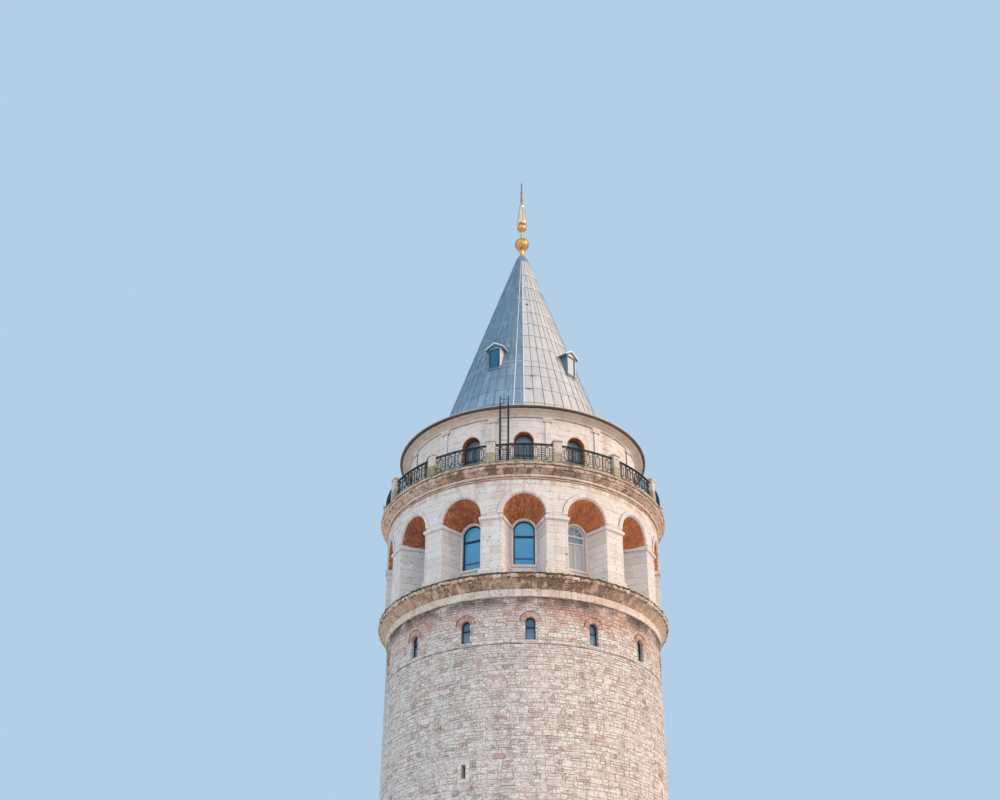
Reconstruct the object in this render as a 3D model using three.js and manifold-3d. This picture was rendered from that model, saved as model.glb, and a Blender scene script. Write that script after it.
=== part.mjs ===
// Round medieval watchtower, a scale model at 1:2. Millimetres, +Z up, origin at the centre of the base.
// The middle arch of the arcade and the entrance face -Y. An azimuth is measured from there, towards +X.
import * as THREE from 'three';
import { mergeVertices } from 'three/addons/utils/BufferGeometryUtils.js';
import Module from 'manifold-3d';

const wasm = await Module();
wasm.setup();

// One metre of the real tower, in millimetres of the 1:2 model.
const metre = 500;
// Open joint between neighbouring pieces, in millimetres of the model.
const joint = 0.3;
const gap = joint / metre;

// Real sizes of the tower, in metres.
// A shape that cuts a hole runs past the wall by this much on both sides.
const past = 1;
const bays = 14;
const facetsPerBay = 4;
const floorFacets = 28;
const archSteps = 8;
const shaft = {
  footRadius: 8.225,
  radius: 8.0,
  batterTop: 9.0,
  innerRadius: 4.475,
  top: 26.6,
};
const loophole = { width: 0.26, height: 0.74, sills: [11.4, 20.98], azimuth: -23.2, count: 4 };
const entrance = {
  halfWidth: 0.85,
  head: 2.95,
  lintelBearing: 0.6,
  lintelHeight: 2.0,
  surroundWidth: 0.32,
  surroundDepth: 0.6,
  surroundProud: 0.12,
  leaf: 0.09,
  leafSetBack: 0.6,
  leafClearance: 0.01,
  floor: 0.12,
  floorSetBack: 0.05,
};
const windowStorey = { innerRadius: 6.4, top: 30.7, floorThickness: 0.5 };
const shaftWindow = { halfWidth: 0.28, sill: 28.27, spring: 29.3, azimuth: 2.2 };
const lowerCornice = {
  top: 32.0,
  reach: 8.66,
  floorThickness: 0.6,
  // Out from the shaft's face and up from the cornice's foot.
  profile: [[0.12, 0], [0.16, 0.3], [0.34, 0.62], [0.5, 0.86]],
  lipHeight: 0.2,
};
const arcade = {
  radius: 8.25,
  innerRadius: 6.5,
  top: 37.96,
  nicheBack: 6.78,
  nicheFloor: 32.1,
  frontHalf: 1.28,
  frontSpring: 35.75,
  backHalf: 0.72,
  backSpring: 35.38,
  imposts: [35.38, 35.56],
  impostProud: 0.08,
};
const arcadeWindow = { halfWidth: 0.62, sill: 33.1, spring: 35.34 };
const deck = {
  cornice: 8.83,
  corniceSeat: 7.9,
  top: 38.72,
  // Out from the arcade's face and up from the cornice's foot.
  profile: [[0.1, 0], [0.1, 0.12], [0.24, 0.28], [0.46, 0.42]],
  lipHeight: 0.22,
};
const drum = { radius: 7.15, innerRadius: 6.55, top: 42.76, seamTurn: -4 };
const drumWindow = { halfWidth: 0.56, sill: 39.55, spring: 41.02 };
const pilaster = {
  turn: -1.6,
  width: 0.26,
  proud: 0.08,
  capWidth: 0.56,
  capProud: 0.15,
  cap: [42.3, 42.52],
  bond: 0.2,
};
const eave = {
  slabRadius: 6.9,
  corniceFoot: 7.21,
  corniceReach: 7.45,
  corniceShoulder: 42.9,
  corniceTop: 42.95,
  reach: 7.8,
  rimTop: 43.07,
  shoulder: 6.1,
  top: 43.32,
  inner: 5.4,
};
const cone = { apex: 60.9, slope: 0.33, thickness: 0.25, top: 59.4 };
const dormer = {
  azimuths: [-25, 47, 155, 227],
  face: 4.28,
  back: 2.9,
  halfWidth: 0.41,
  wall: 0.09,
  foot: 48.15,
  eaves: 49.73,
  fascia: 0.06,
  ridge: 50.14,
  sideOverhang: 0.24,
  frontOverhang: 0.1,
  glassFace: 4.16,
  glassThickness: 0.04,
};
const balustrade = {
  kerbInner: 8.3,
  kerbOuter: 8.74,
  kerbTop: 38.86,
  postWidth: 0.54,
  postInner: 8.34,
  postOuter: 8.74,
  postTop: 40.14,
  capHeight: 0.12,
  capProud: 0.05,
};
const railing = { radius: 8.52, bar: 0.05, handrail: 0.08, top: 40.02, bottom: 38.93, barsPerBay: 4 };
const ladder = {
  centre: -1.15,
  halfWidth: 0.24,
  distance: 7.94,
  stileWidth: 0.11,
  bar: 0.055,
  top: 43.6,
  firstRung: 0.3,
  step: 0.31,
  tie: [42.98, 43.04],
};
const finial = {
  steps: 16,
  capFoot: 0.06,
  capProud: 0.03,
  capTop: 60.1,
  largeBall: { centre: 61.19, radius: 0.5, top: 62.0 },
  smallBall: { centre: 62.7, radius: 0.33, top: 63.0 },
  tip: 66.9,
};
const glassThickness = 0.03;

const bayAngle = 360 / bays;
const roundSteps = bays * facetsPerBay;
const radians = THREE.MathUtils.degToRad;

const paint = (color, roughness, metalness = 0) => ({ color, roughness, metalness });
const paints = {
  rubble: paint(0xb9aaa0, 0.92),
  limestone: paint(0xd3cabf, 0.85),
  cornice: paint(0xb39c80, 0.9),
  floor: paint(0xa39a8e, 0.9),
  lead: paint(0x9fa9b2, 0.45, 0.55),
  eaveMetal: paint(0x4a3626, 0.6, 0.3),
  ironwork: paint(0x1c2423, 0.5, 0.6),
  glass: paint(0x5d93c0, 0.08),
  gold: paint(0xd8a247, 0.28, 1),
  oak: paint(0x5a3e28, 0.7),
};

const tower = new THREE.Group();
tower.name = 'round_watchtower';

// Closed triangle meshes become solids that can be joined and cut, and come back as meshes.
function toSolid(source) {
  const bare = source.clone();
  bare.deleteAttribute('normal');
  bare.deleteAttribute('uv');
  const merged = mergeVertices(bare, 1e-3);
  const solid = new wasm.Manifold(
    new wasm.Mesh({
      numProp: 3,
      vertProperties: new Float32Array(merged.attributes.position.array),
      triVerts: new Uint32Array(merged.index.array),
    }),
  );
  return solid;
}

function toGeometry(solid) {
  const mesh = solid.getMesh();
  const geometry = new THREE.BufferGeometry();
  geometry.setAttribute('position', new THREE.BufferAttribute(Float32Array.from(mesh.vertProperties), 3));
  geometry.setIndex(new THREE.BufferAttribute(Uint32Array.from(mesh.triVerts), 1));
  geometry.computeVertexNormals();
  return geometry;
}

function addPiece(name, solid, finish) {
  const mesh = new THREE.Mesh(toGeometry(solid), new THREE.MeshStandardMaterial(finish));
  mesh.name = name;
  tower.add(mesh);
  return mesh;
}

const joinAll = (solids) => solids.reduce((whole, solid) => whole.add(solid));
const cutAll = (solid, cutters) => cutters.reduce((left, cutter) => left.subtract(cutter), solid);
const everyBay = (make, offset = 0) =>
  Array.from({ length: bays }, (_, bay) => make(offset + bay * bayAngle, bay));

// A ring or a round solid turned about the tower's axis from points of [radius, height] in metres.
function turned(profile, steps = roundSteps) {
  const points = profile.map(([radius, height]) => new THREE.Vector2(radius * metre, height * metre));
  const startsOnAxis = profile[0][0] === 0;
  if (!startsOnAxis) points.push(points[0].clone());
  const geometry = new THREE.LatheGeometry(points, steps);
  geometry.rotateX(Math.PI / 2);
  return toSolid(geometry);
}

const ringWall = (inner, outer, low, high) =>
  turned([[inner, low], [outer, low], [outer, high], [inner, high]]);
const disc = (radius, low, high) =>
  turned([[0, low], [radius, low], [radius, high], [0, high]], floorFacets);

// An outline of [across, height] metres, pushed outwards from one distance to another at an azimuth.
function pushedOut(outline, near, far, azimuth, across = 0) {
  const shape = new THREE.Shape(
    outline.map(([x, z]) => new THREE.Vector2((x + across) * metre, z * metre)),
  );
  const geometry = new THREE.ExtrudeGeometry(shape, { depth: (far - near) * metre, bevelEnabled: false });
  geometry.translate(0, 0, near * metre);
  geometry.rotateX(Math.PI / 2);
  geometry.rotateZ(radians(azimuth));
  return toSolid(geometry);
}

const block = (halfWidth, low, high, near, far, azimuth, across = 0) =>
  pushedOut(
    [[-halfWidth, low], [halfWidth, low], [halfWidth, high], [-halfWidth, high]],
    near, far, azimuth, across,
  );

// Round-arched outline: straight jambs from the sill to the springing, and a half circle over them.
function archOutline(halfWidth, sill, spring, steps = archSteps) {
  const outline = [[-halfWidth, sill], [halfWidth, sill]];
  for (let step = 0; step <= steps; step += 1) {
    const angle = (Math.PI * step) / steps;
    outline.push([halfWidth * Math.cos(angle), spring + halfWidth * Math.sin(angle)]);
  }
  return outline;
}

const archedHole = (halfWidth, sill, spring, near, far, azimuth, steps) =>
  pushedOut(archOutline(halfWidth, sill, spring, steps), near, far, azimuth);

// A wedge of the whole tower between two azimuths, set in by half a joint on each side.
function wedge(from, to, low, high) {
  const reach = 1.5 * deck.cornice * metre;
  const steps = Math.max(2, Math.ceil((to - from) / 45));
  const outwards = (angle, distance) =>
    new THREE.Vector2(distance * Math.sin(angle), -distance * Math.cos(angle));
  const tip = joint / 2 / Math.sin(radians((to - from) / 2));
  const start = outwards(radians((from + to) / 2), tip);
  const rim = Array.from({ length: steps + 1 }, (_, step) =>
    outwards(radians(from + ((to - from) * step) / steps), reach).add(start));
  const shape = new THREE.Shape([start, ...rim]);
  const geometry = new THREE.ExtrudeGeometry(shape, { depth: (high - low) * metre, bevelEnabled: false });
  geometry.translate(0, 0, low * metre);
  return toSolid(geometry);
}

function addSegments(name, whole, edges, low, high, finish) {
  edges.slice(0, -1).forEach((edge, index) => {
    const part = whole.intersect(wedge(edge, edges[index + 1], low - past, high + past));
    addPiece(`${name}_${index + 1}`, part, finish);
  });
}

// Seams between four segments of a ring of fourteen bays, each midway between two windows.
const quarterSeams = (azimuth) => [0, 4, 7, 11, 14].map((bay) => azimuth + (bay - 0.5) * bayAngle);

// Shaft: one mass of masonry in two halves, with the block over the entrance between them.
function buildShaft() {
  const { footRadius, radius, batterTop, innerRadius, top } = shaft;
  const { halfWidth, head, lintelBearing, lintelHeight, floor, floorSetBack } = entrance;
  const wall = turned([
    [innerRadius, 0], [footRadius, 0], [radius, batterTop], [radius, top], [innerRadius, top],
  ]);
  const hole = (half, low, high, azimuth) =>
    block(half, low, high, innerRadius - past, footRadius + past, azimuth);
  const doorway = hole(halfWidth, -past, head, 0);
  const slitTurn = 360 / loophole.count;
  const slits = loophole.sills.flatMap((sill) =>
    Array.from({ length: loophole.count }, (_, side) =>
      hole(loophole.width / 2, sill, sill + loophole.height, loophole.azimuth + slitTurn * side)),
  );
  const pierced = cutAll(wall, [doorway, ...slits]);
  const lintelHalf = halfWidth + lintelBearing;
  const lintelTop = head + lintelHeight;
  const lintel = hole(lintelHalf, head, lintelTop, 0);
  const lintelRoom = hole(lintelHalf + gap, head - gap, lintelTop + gap, 0);
  const masses = pierced.subtract(lintelRoom);
  addPiece('shaft_wall_right', masses.intersect(wedge(0, 180, -past, top + past)), paints.rubble);
  addPiece('shaft_wall_left', masses.intersect(wedge(180, 360, -past, top + past)), paints.rubble);
  addPiece('shaft_wall_over_door', pierced.intersect(lintel), paints.rubble);
  const passage = block(halfWidth - gap, 0, floor, innerRadius / 2, footRadius - floorSetBack, 0);
  addPiece('ground_floor', disc(innerRadius - gap, 0, floor).add(passage), paints.floor);
}

// The entrance: a plain stone surround on the wall's face, and an oak leaf that stands open inwards.
function buildEntrance() {
  const { halfWidth, head, surroundWidth, surroundDepth, surroundProud } = entrance;
  const { leaf, leafSetBack, leafClearance, floor } = entrance;
  const face = shaft.footRadius;
  const frame = block(
    halfWidth + surroundWidth, 0, head + surroundWidth, face - surroundDepth, face + surroundProud, 0,
  );
  const doorway = block(halfWidth, -past, head, face - past, face + past, 0);
  const wallFace = turned([
    [0, -past], [face + gap, -past], [face + gap, 0],
    [shaft.radius + gap, shaft.batterTop], [0, shaft.batterTop],
  ]);
  addPiece('entrance_surround', frame.subtract(doorway).subtract(wallFace), paints.limestone);
  const hinge = face - leafSetBack;
  const leafHalf = leaf / 2;
  const leafPlace = gap + leafHalf - halfWidth;
  const door = block(leafHalf, floor + gap, head - leafClearance, hinge - 2 * halfWidth, hinge, 0, leafPlace);
  addPiece('entrance_door', door, paints.oak);
}

// The storey with the ring of small arched windows, just under the lower cornice.
function buildWindowStorey() {
  const { innerRadius, top, floorThickness } = windowStorey;
  const { halfWidth, sill, spring, azimuth: firstWindow } = shaftWindow;
  const foot = shaft.top;
  const wall = ringWall(innerRadius, shaft.radius, foot, top);
  const windows = everyBay(
    (azimuth) => archedHole(halfWidth, sill, spring, innerRadius - past, shaft.radius + past, azimuth, 6),
    firstWindow,
  );
  const pierced = cutAll(wall, windows);
  addSegments('window_storey_wall', pierced, quarterSeams(firstWindow), foot, top, paints.rubble);
  addPiece('window_storey_floor', disc(innerRadius - gap, foot, foot + floorThickness), paints.floor);
}

// Lower cornice: a fillet and a deep cove that carry the ledge in front of the arcade.
function buildLowerCornice() {
  const { top, reach, floorThickness, profile, lipHeight } = lowerCornice;
  const { innerRadius, top: foot } = windowStorey;
  const outline = [
    [innerRadius, foot],
    ...profile.map(([out, up]) => [shaft.radius + out, foot + up]),
    [reach, top - lipHeight],
    [reach, top],
    [innerRadius, top],
  ];
  addPiece('lower_cornice', turned(outline), paints.cornice);
  addPiece('arcade_floor', disc(innerRadius - gap, top - floorThickness, top), paints.floor);
}

// One arcade niche: it narrows from the arch in front to the window wall behind.
function nicheHollow(azimuth, inset) {
  const { nicheFloor, frontHalf, frontSpring, backHalf, backSpring, nicheBack } = arcade;
  const front = arcade.radius + past / 2;
  const run = front - nicheBack;
  const halfAt = (distance) =>
    backHalf + ((frontHalf - backHalf) * (distance - nicheBack)) / (arcade.radius - nicheBack);
  const springAt = (distance) =>
    backSpring + ((frontSpring - backSpring) * (distance - nicheBack)) / (arcade.radius - nicheBack);
  const outline = archOutline(halfAt(front) - inset, nicheFloor, springAt(front));
  const shape = new THREE.Shape(outline.map(([x, z]) => new THREE.Vector2(x * metre, z * metre)));
  const geometry = new THREE.ExtrudeGeometry(shape, { depth: run * metre, bevelEnabled: false });
  const place = geometry.attributes.position;
  const narrowing = (backHalf - inset) / (halfAt(front) - inset);
  for (let index = 0; index < place.count; index += 1) {
    const height = place.getY(index) / metre;
    const atBack = place.getZ(index) < metre * run / 2;
    const onArch = height > (nicheFloor + springAt(front)) / 2;
    if (atBack) place.setX(index, place.getX(index) * narrowing);
    if (atBack && onArch) {
      place.setY(index, (springAt(nicheBack) + (height - springAt(front)) * narrowing) * metre);
    }
  }
  geometry.translate(0, 0, nicheBack * metre);
  geometry.rotateX(Math.PI / 2);
  geometry.rotateZ(radians(azimuth));
  return toSolid(geometry);
}

// A round sheet of glass against the inner face of a wall, up to just over the heads of its windows.
const glassRing = (wallInner, low, head) =>
  ringWall(wallInner * Math.cos(Math.PI / roundSteps) - glassThickness, wallInner - gap, low, head + 0.2);

// Arcade storey: deep arched niches, each with a window in the thin wall that closes its back.
function buildArcade() {
  const { radius, innerRadius, top, imposts, impostProud } = arcade;
  const [impostLow, impostHigh] = imposts;
  const wall = ringWall(innerRadius, radius, lowerCornice.top, top);
  const impostBand = ringWall(innerRadius, radius + impostProud, impostLow, impostHigh);
  const hollows = everyBay((azimuth) => {
    const plain = nicheHollow(azimuth, 0).subtract(impostBand);
    const narrow = nicheHollow(azimuth, impostProud).intersect(impostBand);
    return plain.add(narrow);
  });
  const { halfWidth, sill, spring } = arcadeWindow;
  const windows = everyBay((azimuth) =>
    archedHole(halfWidth, sill, spring, innerRadius - past, radius + past, azimuth));
  const whole = cutAll(wall.add(impostBand), [...hollows, ...windows]);
  const seams = Array.from({ length: bays / 2 + 1 }, (_, pair) => (2 * pair - 0.5) * bayAngle);
  addSegments('arcade_wall', whole, seams, lowerCornice.top, top, paints.limestone);
  const glass = glassRing(innerRadius, lowerCornice.top, spring + halfWidth);
  addPiece('arcade_glass', glass, paints.glass);
}

// Viewing deck: the slab, and the layered cornice built in around it.
function buildDeck() {
  const foot = arcade.top;
  const { cornice, corniceSeat, top, profile, lipHeight } = deck;
  addPiece('deck_slab', disc(corniceSeat - gap, foot, top), paints.floor);
  const outline = [
    [corniceSeat, foot],
    ...profile.map(([out, up]) => [arcade.radius + out, foot + up]),
    [cornice, top - lipHeight],
    [cornice, top],
    [corniceSeat, top],
  ];
  addPiece('deck_cornice', turned(outline), paints.cornice);
}

// Balustrade: a stone kerb with a post between every two arches, and iron railings run through the posts.
// The kerb is jointed in the middle of a bay, and the railing inside a post.
function buildBalustrade() {
  const { kerbInner, kerbOuter, kerbTop, postWidth, postInner, postOuter, postTop } = balustrade;
  const { capHeight, capProud } = balustrade;
  const { radius, bar, handrail, top, bottom, barsPerBay } = railing;
  const kerb = ringWall(kerbInner, kerbOuter, deck.top, kerbTop);
  const posts = everyBay((azimuth) => {
    const body = block(postWidth / 2, deck.top, postTop, postInner, postOuter, azimuth);
    const capHalf = postWidth / 2 + capProud;
    const cap = block(
      capHalf, postTop, postTop + capHeight, postInner - capProud, postOuter + capProud, azimuth,
    );
    return body.add(cap);
  }, bayAngle / 2);
  const rail = (width, low, high, spare) =>
    ringWall(radius - width / 2 - spare, radius + width / 2 + spare, low - spare, high + spare);
  const rails = (spare) => [
    rail(handrail, top - bar, top, spare),
    rail(bar, bottom - bar, bottom, spare),
  ];
  const stone = cutAll(joinAll([kerb, ...posts]), rails(gap));
  const half = (whole, from) => whole.intersect(wedge(from, from + 180, deck.top - past, postTop + past));
  addPiece('balustrade_posts_right', half(stone, 0), paints.limestone);
  addPiece('balustrade_posts_left', half(stone, 180), paints.limestone);
  const clearAngle = bayAngle - THREE.MathUtils.radToDeg(postWidth / radius);
  const barHalf = bar / 3;
  const bars = everyBay((azimuth) => {
    const standing = Array.from({ length: barsPerBay }, (_, index) => {
      const turn = azimuth + clearAngle * ((index + 0.5) / barsPerBay - 0.5);
      return block(barHalf, bottom - bar / 2, top - bar / 2, radius - barHalf, radius + barHalf, turn);
    });
    return joinAll(standing);
  });
  const ironwork = joinAll([...rails(0), ...bars]);
  addPiece('balustrade_railing_front', half(ironwork, 270), paints.ironwork);
  addPiece('balustrade_railing_back', half(ironwork, 90), paints.ironwork);
}

// Drum: the round room set back on the deck, with arched windows between flat pilasters.
function buildDrum() {
  const { radius, innerRadius, top, seamTurn } = drum;
  const { turn, width, proud, capWidth, capProud, cap, bond } = pilaster;
  const wall = ringWall(innerRadius, radius, deck.top, top);
  const pilasters = everyBay((azimuth) => {
    const shaftStrip = block(width / 2, deck.top, cap[0], radius - bond, radius + proud, azimuth);
    const capital = block(capWidth / 2, cap[0], cap[1], radius - bond, radius + capProud, azimuth);
    return shaftStrip.add(capital);
  }, bayAngle / 2 + turn);
  const { halfWidth, sill, spring } = drumWindow;
  const windows = everyBay((azimuth, bay) => {
    const isDoor = bay === bays / 2;
    const low = isDoor ? deck.top - past : sill;
    return archedHole(halfWidth, low, spring, innerRadius - past, radius + past, azimuth);
  });
  const whole = cutAll(joinAll([wall, ...pilasters]), windows);
  addSegments('drum_wall', whole, quarterSeams(seamTurn), deck.top, top, paints.limestone);
  addPiece('drum_glass', glassRing(innerRadius, deck.top, spring + halfWidth), paints.glass);
}

// Eaves: the drum's cornice, the slab that closes the room, and the metal skirt with its overhanging rim.
function buildEaves() {
  const { slabRadius, corniceFoot, corniceReach, corniceShoulder, corniceTop } = eave;
  const { reach, rimTop, shoulder, top, inner } = eave;
  const foot = drum.top;
  addPiece('roof_slab', disc(slabRadius - gap, foot, corniceTop), paints.floor);
  const cornice = [
    [slabRadius, foot],
    [corniceFoot, foot],
    [corniceReach, corniceShoulder],
    [corniceReach, corniceTop],
    [slabRadius, corniceTop],
  ];
  addPiece('drum_cornice', turned(cornice), paints.limestone);
  const skirt = [
    [inner, corniceTop],
    [reach, corniceTop],
    [reach, rimTop],
    [shoulder, top],
    [inner, top],
  ];
  addPiece('eave_edge', turned(skirt), paints.eaveMetal);
}

const coneRadius = (height) => cone.slope * (cone.apex - height);

// Roof: a lead-covered cone in two halves, pierced behind each dormer window.
function buildRoof() {
  const { thickness, top } = cone;
  const foot = eave.top;
  const shell = turned([
    [coneRadius(foot) - thickness, foot],
    [coneRadius(foot), foot],
    [coneRadius(top), top],
    [coneRadius(top) - thickness, top],
  ]);
  const { wall, halfWidth, foot: sill, eaves, back, face } = dormer;
  const holes = dormer.azimuths.map((azimuth) =>
    block(halfWidth - wall, sill + wall, eaves - wall, back - past, face + past, azimuth));
  const pierced = cutAll(shell, holes);
  const seam = (dormer.azimuths[0] + dormer.azimuths[1]) / 2;
  const half = (from) => pierced.intersect(wedge(from, from + 180, foot - past, top + past));
  addPiece('roof_cone_right', half(seam), paints.lead);
  addPiece('roof_cone_left', half(seam + 180), paints.lead);
}

// Dormers: small gabled casings with a single window, standing out of the cone.
function buildDormers() {
  const { face, back, halfWidth, wall, foot, eaves, fascia, ridge } = dormer;
  const { sideOverhang, frontOverhang, glassFace, glassThickness: pane } = dormer;
  const low = foot - past;
  const high = ridge + past;
  const coneSolid = turned([
    [0, low], [coneRadius(low) + gap, low], [coneRadius(high) + gap, high], [0, high],
  ]);
  dormer.azimuths.forEach((azimuth, index) => {
    const cheeks = block(halfWidth, foot, eaves, back, face, azimuth);
    const side = halfWidth + sideOverhang;
    const roofOutline = [
      [-side, eaves - fascia], [side, eaves - fascia], [side, eaves], [0, ridge], [-side, eaves],
    ];
    const gable = pushedOut(roofOutline, back, face + frontOverhang, azimuth);
    const room = block(halfWidth - wall, foot + wall, eaves - wall, back - past, face + past, azimuth);
    const casing = cheeks.add(gable).subtract(room).subtract(coneSolid);
    addPiece(`dormer_${index + 1}`, casing, paints.lead);
    const glass = block(
      halfWidth - wall - gap, foot + wall + gap, eaves - wall - gap, glassFace, glassFace + pane, azimuth,
    );
    addPiece(`dormer_window_${index + 1}`, glass, paints.glass);
  });
}

// A ball on the axis, as profile points from its lower to its upper neck.
function ballProfile({ centre, radius }, lowNeck, highNeck, steps) {
  const start = -Math.acos(lowNeck / radius);
  const end = Math.acos(highNeck / radius);
  return Array.from({ length: steps + 1 }, (_, step) => {
    const angle = start + ((end - start) * step) / steps;
    return [radius * Math.cos(angle), centre + radius * Math.sin(angle)];
  });
}

// Finial: a lead cap on the cone, then a gilded neck with its ball, a smaller ball, a tapered vase and a rod.
function buildFinial() {
  const { steps, capFoot, capProud, capTop, largeBall, smallBall, tip } = finial;
  const capRadius = coneRadius(cone.top) + capProud;
  const capProfile = [
    [0, cone.top], [capRadius, cone.top], [capRadius, cone.top + capFoot], [0.19, 60.02], [0.19, capTop],
    [0, capTop],
  ];
  addPiece('roof_cap', turned(capProfile, steps), paints.lead);
  const largeProfile = [
    [0, capTop], [0.17, capTop], [0.15, 60.22], [0.15, 60.52], [0.18, 60.58], [0.18, 60.63], [0.13, 60.68],
    ...ballProfile(largeBall, 0.12, 0.1, 8),
    [0.07, 61.75], [0.07, 61.92], [0.1, 61.96], [0.1, largeBall.top], [0, largeBall.top],
  ];
  addPiece('finial_large_ball', turned(largeProfile, steps), paints.gold);
  const smallProfile = [
    [0, largeBall.top], [0.06, largeBall.top], [0.06, 62.36], ...ballProfile(smallBall, 0.08, 0.16, 6),
    [0.16, smallBall.top], [0, smallBall.top],
  ];
  addPiece('finial_small_ball', turned(smallProfile, steps), paints.gold);
  const spireProfile = [
    [0, smallBall.top], [0.34, smallBall.top], [0.36, 63.08], [0.34, 63.3], [0.2, 64.5], [0.17, 64.58],
    [0.19, 64.62], [0.19, 64.68], [0.13, 64.74], [0.11, 64.9], [0.05, tip - 0.06], [0.03, tip], [0, tip],
  ];
  addPiece('finial_spire', turned(spireProfile, steps), paints.gold);
}

// Access ladder from the deck to the roof: it stands clear of the eaves and is tied back to their rim.
function buildLadder() {
  const { centre, halfWidth, distance, stileWidth, bar, top, firstRung, step, tie } = ladder;
  const half = bar / 2;
  const rungHalf = bar / 4;
  const stiles = [-1, 1].map((side) =>
    block(stileWidth / 2, deck.top, top, distance - half, distance + half, 0, centre + side * halfWidth));
  const rungCount = Math.floor((top - deck.top - firstRung) / step) + 1;
  const rungs = Array.from({ length: rungCount }, (_, index) => {
    const height = deck.top + firstRung + index * step;
    const [near, far] = [distance - rungHalf, distance + rungHalf];
    return block(halfWidth, height - rungHalf, height + rungHalf, near, far, 0, centre);
  });
  const rim = turned([[0, drum.top], [eave.reach + gap, drum.top], [eave.reach + gap, top], [0, top]]);
  const ties = [-1, 1].map((side) =>
    block(rungHalf, tie[0], tie[1], drum.radius, distance, 0, centre + side * halfWidth).subtract(rim));
  addPiece('access_ladder', joinAll([...stiles, ...rungs, ...ties]), paints.ironwork);
}

buildShaft();
buildEntrance();
buildWindowStorey();
buildLowerCornice();
buildArcade();
buildDeck();
buildBalustrade();
buildDrum();
buildEaves();
buildRoof();
buildDormers();
buildFinial();
buildLadder();

export default tower;
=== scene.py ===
# Round stone watchtower at 1:2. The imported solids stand, and the masonry, roofing, glazing and ironwork
# are laid on them or take their place. Lengths below are metres of the real tower unless a note says model.
import random
from math import acos, atan2, cos, degrees, hypot, pi, radians, sin, sqrt
import bmesh
import bpy
from mathutils import Euler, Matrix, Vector, noise


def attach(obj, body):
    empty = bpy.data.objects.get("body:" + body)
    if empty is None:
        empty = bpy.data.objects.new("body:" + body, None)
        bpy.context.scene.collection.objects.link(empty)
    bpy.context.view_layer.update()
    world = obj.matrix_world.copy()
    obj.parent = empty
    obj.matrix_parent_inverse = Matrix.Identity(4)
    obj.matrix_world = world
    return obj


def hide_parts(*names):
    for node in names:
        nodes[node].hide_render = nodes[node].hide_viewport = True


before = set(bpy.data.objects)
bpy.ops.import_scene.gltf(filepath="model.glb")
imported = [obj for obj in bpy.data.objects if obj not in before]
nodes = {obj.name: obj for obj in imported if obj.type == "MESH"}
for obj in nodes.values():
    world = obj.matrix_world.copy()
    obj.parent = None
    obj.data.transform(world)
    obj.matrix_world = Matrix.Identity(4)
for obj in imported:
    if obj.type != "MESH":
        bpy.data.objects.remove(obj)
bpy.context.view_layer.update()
modelScale = 0.5  # model metres for one metre of the real tower
bayCount = 14
bayTurn = 360 / bayCount


def addObject(name, data):
    made = bpy.data.objects.new(name, data)
    bpy.context.scene.collection.objects.link(made)
    return made


# Camera at the photograph's viewpoint: low, looking up.
cameraSetup = {
    "place": (-0.807, -76.51, 0.78), "lens": 49.13, "sensor": 36, "farthest": 400,
    "pitch": 31.81, "turn": 0.5, "roll": 0.38,
}


def makeCamera():
    data = bpy.data.cameras.new("camera")
    data.lens = cameraSetup["lens"]
    data.sensor_width = cameraSetup["sensor"]
    data.sensor_fit = "HORIZONTAL"
    data.clip_end = cameraSetup["farthest"]
    camera = addObject("camera", data)
    camera.location = Vector(cameraSetup["place"]) * modelScale
    aim = Euler((radians(90 + cameraSetup["pitch"]), 0, radians(cameraSetup["turn"]))).to_matrix()
    roll = Euler((0, 0, radians(cameraSetup["roll"]))).to_matrix()
    camera.rotation_euler = (aim @ roll).to_euler()
    bpy.context.scene.camera = camera


makeCamera()
print("stage: camera set")


# Shader maths: a wire wraps a socket, and an expression on wires adds the Math nodes.
class Wire:
    def __init__(self, finish, socket):
        self.finish, self.socket = finish, socket

    def maths(self, operation, *others):
        return self.finish.node("Math", dict(enumerate((self, *others))), operation=operation)

    def __add__(self, other):
        return self.maths("ADD", other)

    def __sub__(self, other):
        return self.maths("SUBTRACT", other)

    def __rsub__(self, other):
        return self.finish.node("Math", {0: other, 1: self}, operation="SUBTRACT")

    def __mul__(self, other):
        return self.maths("MULTIPLY", other)

    __radd__ = __add__
    __rmul__ = __mul__

    def clamped(self):
        return self.finish.node("Clamp", {0: self})

    def between(self, low, high):
        sockets = {"Value": self, "From Min": low, "From Max": high}
        return self.finish.node("MapRange", sockets, interpolation_type="SMOOTHSTEP")


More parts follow.
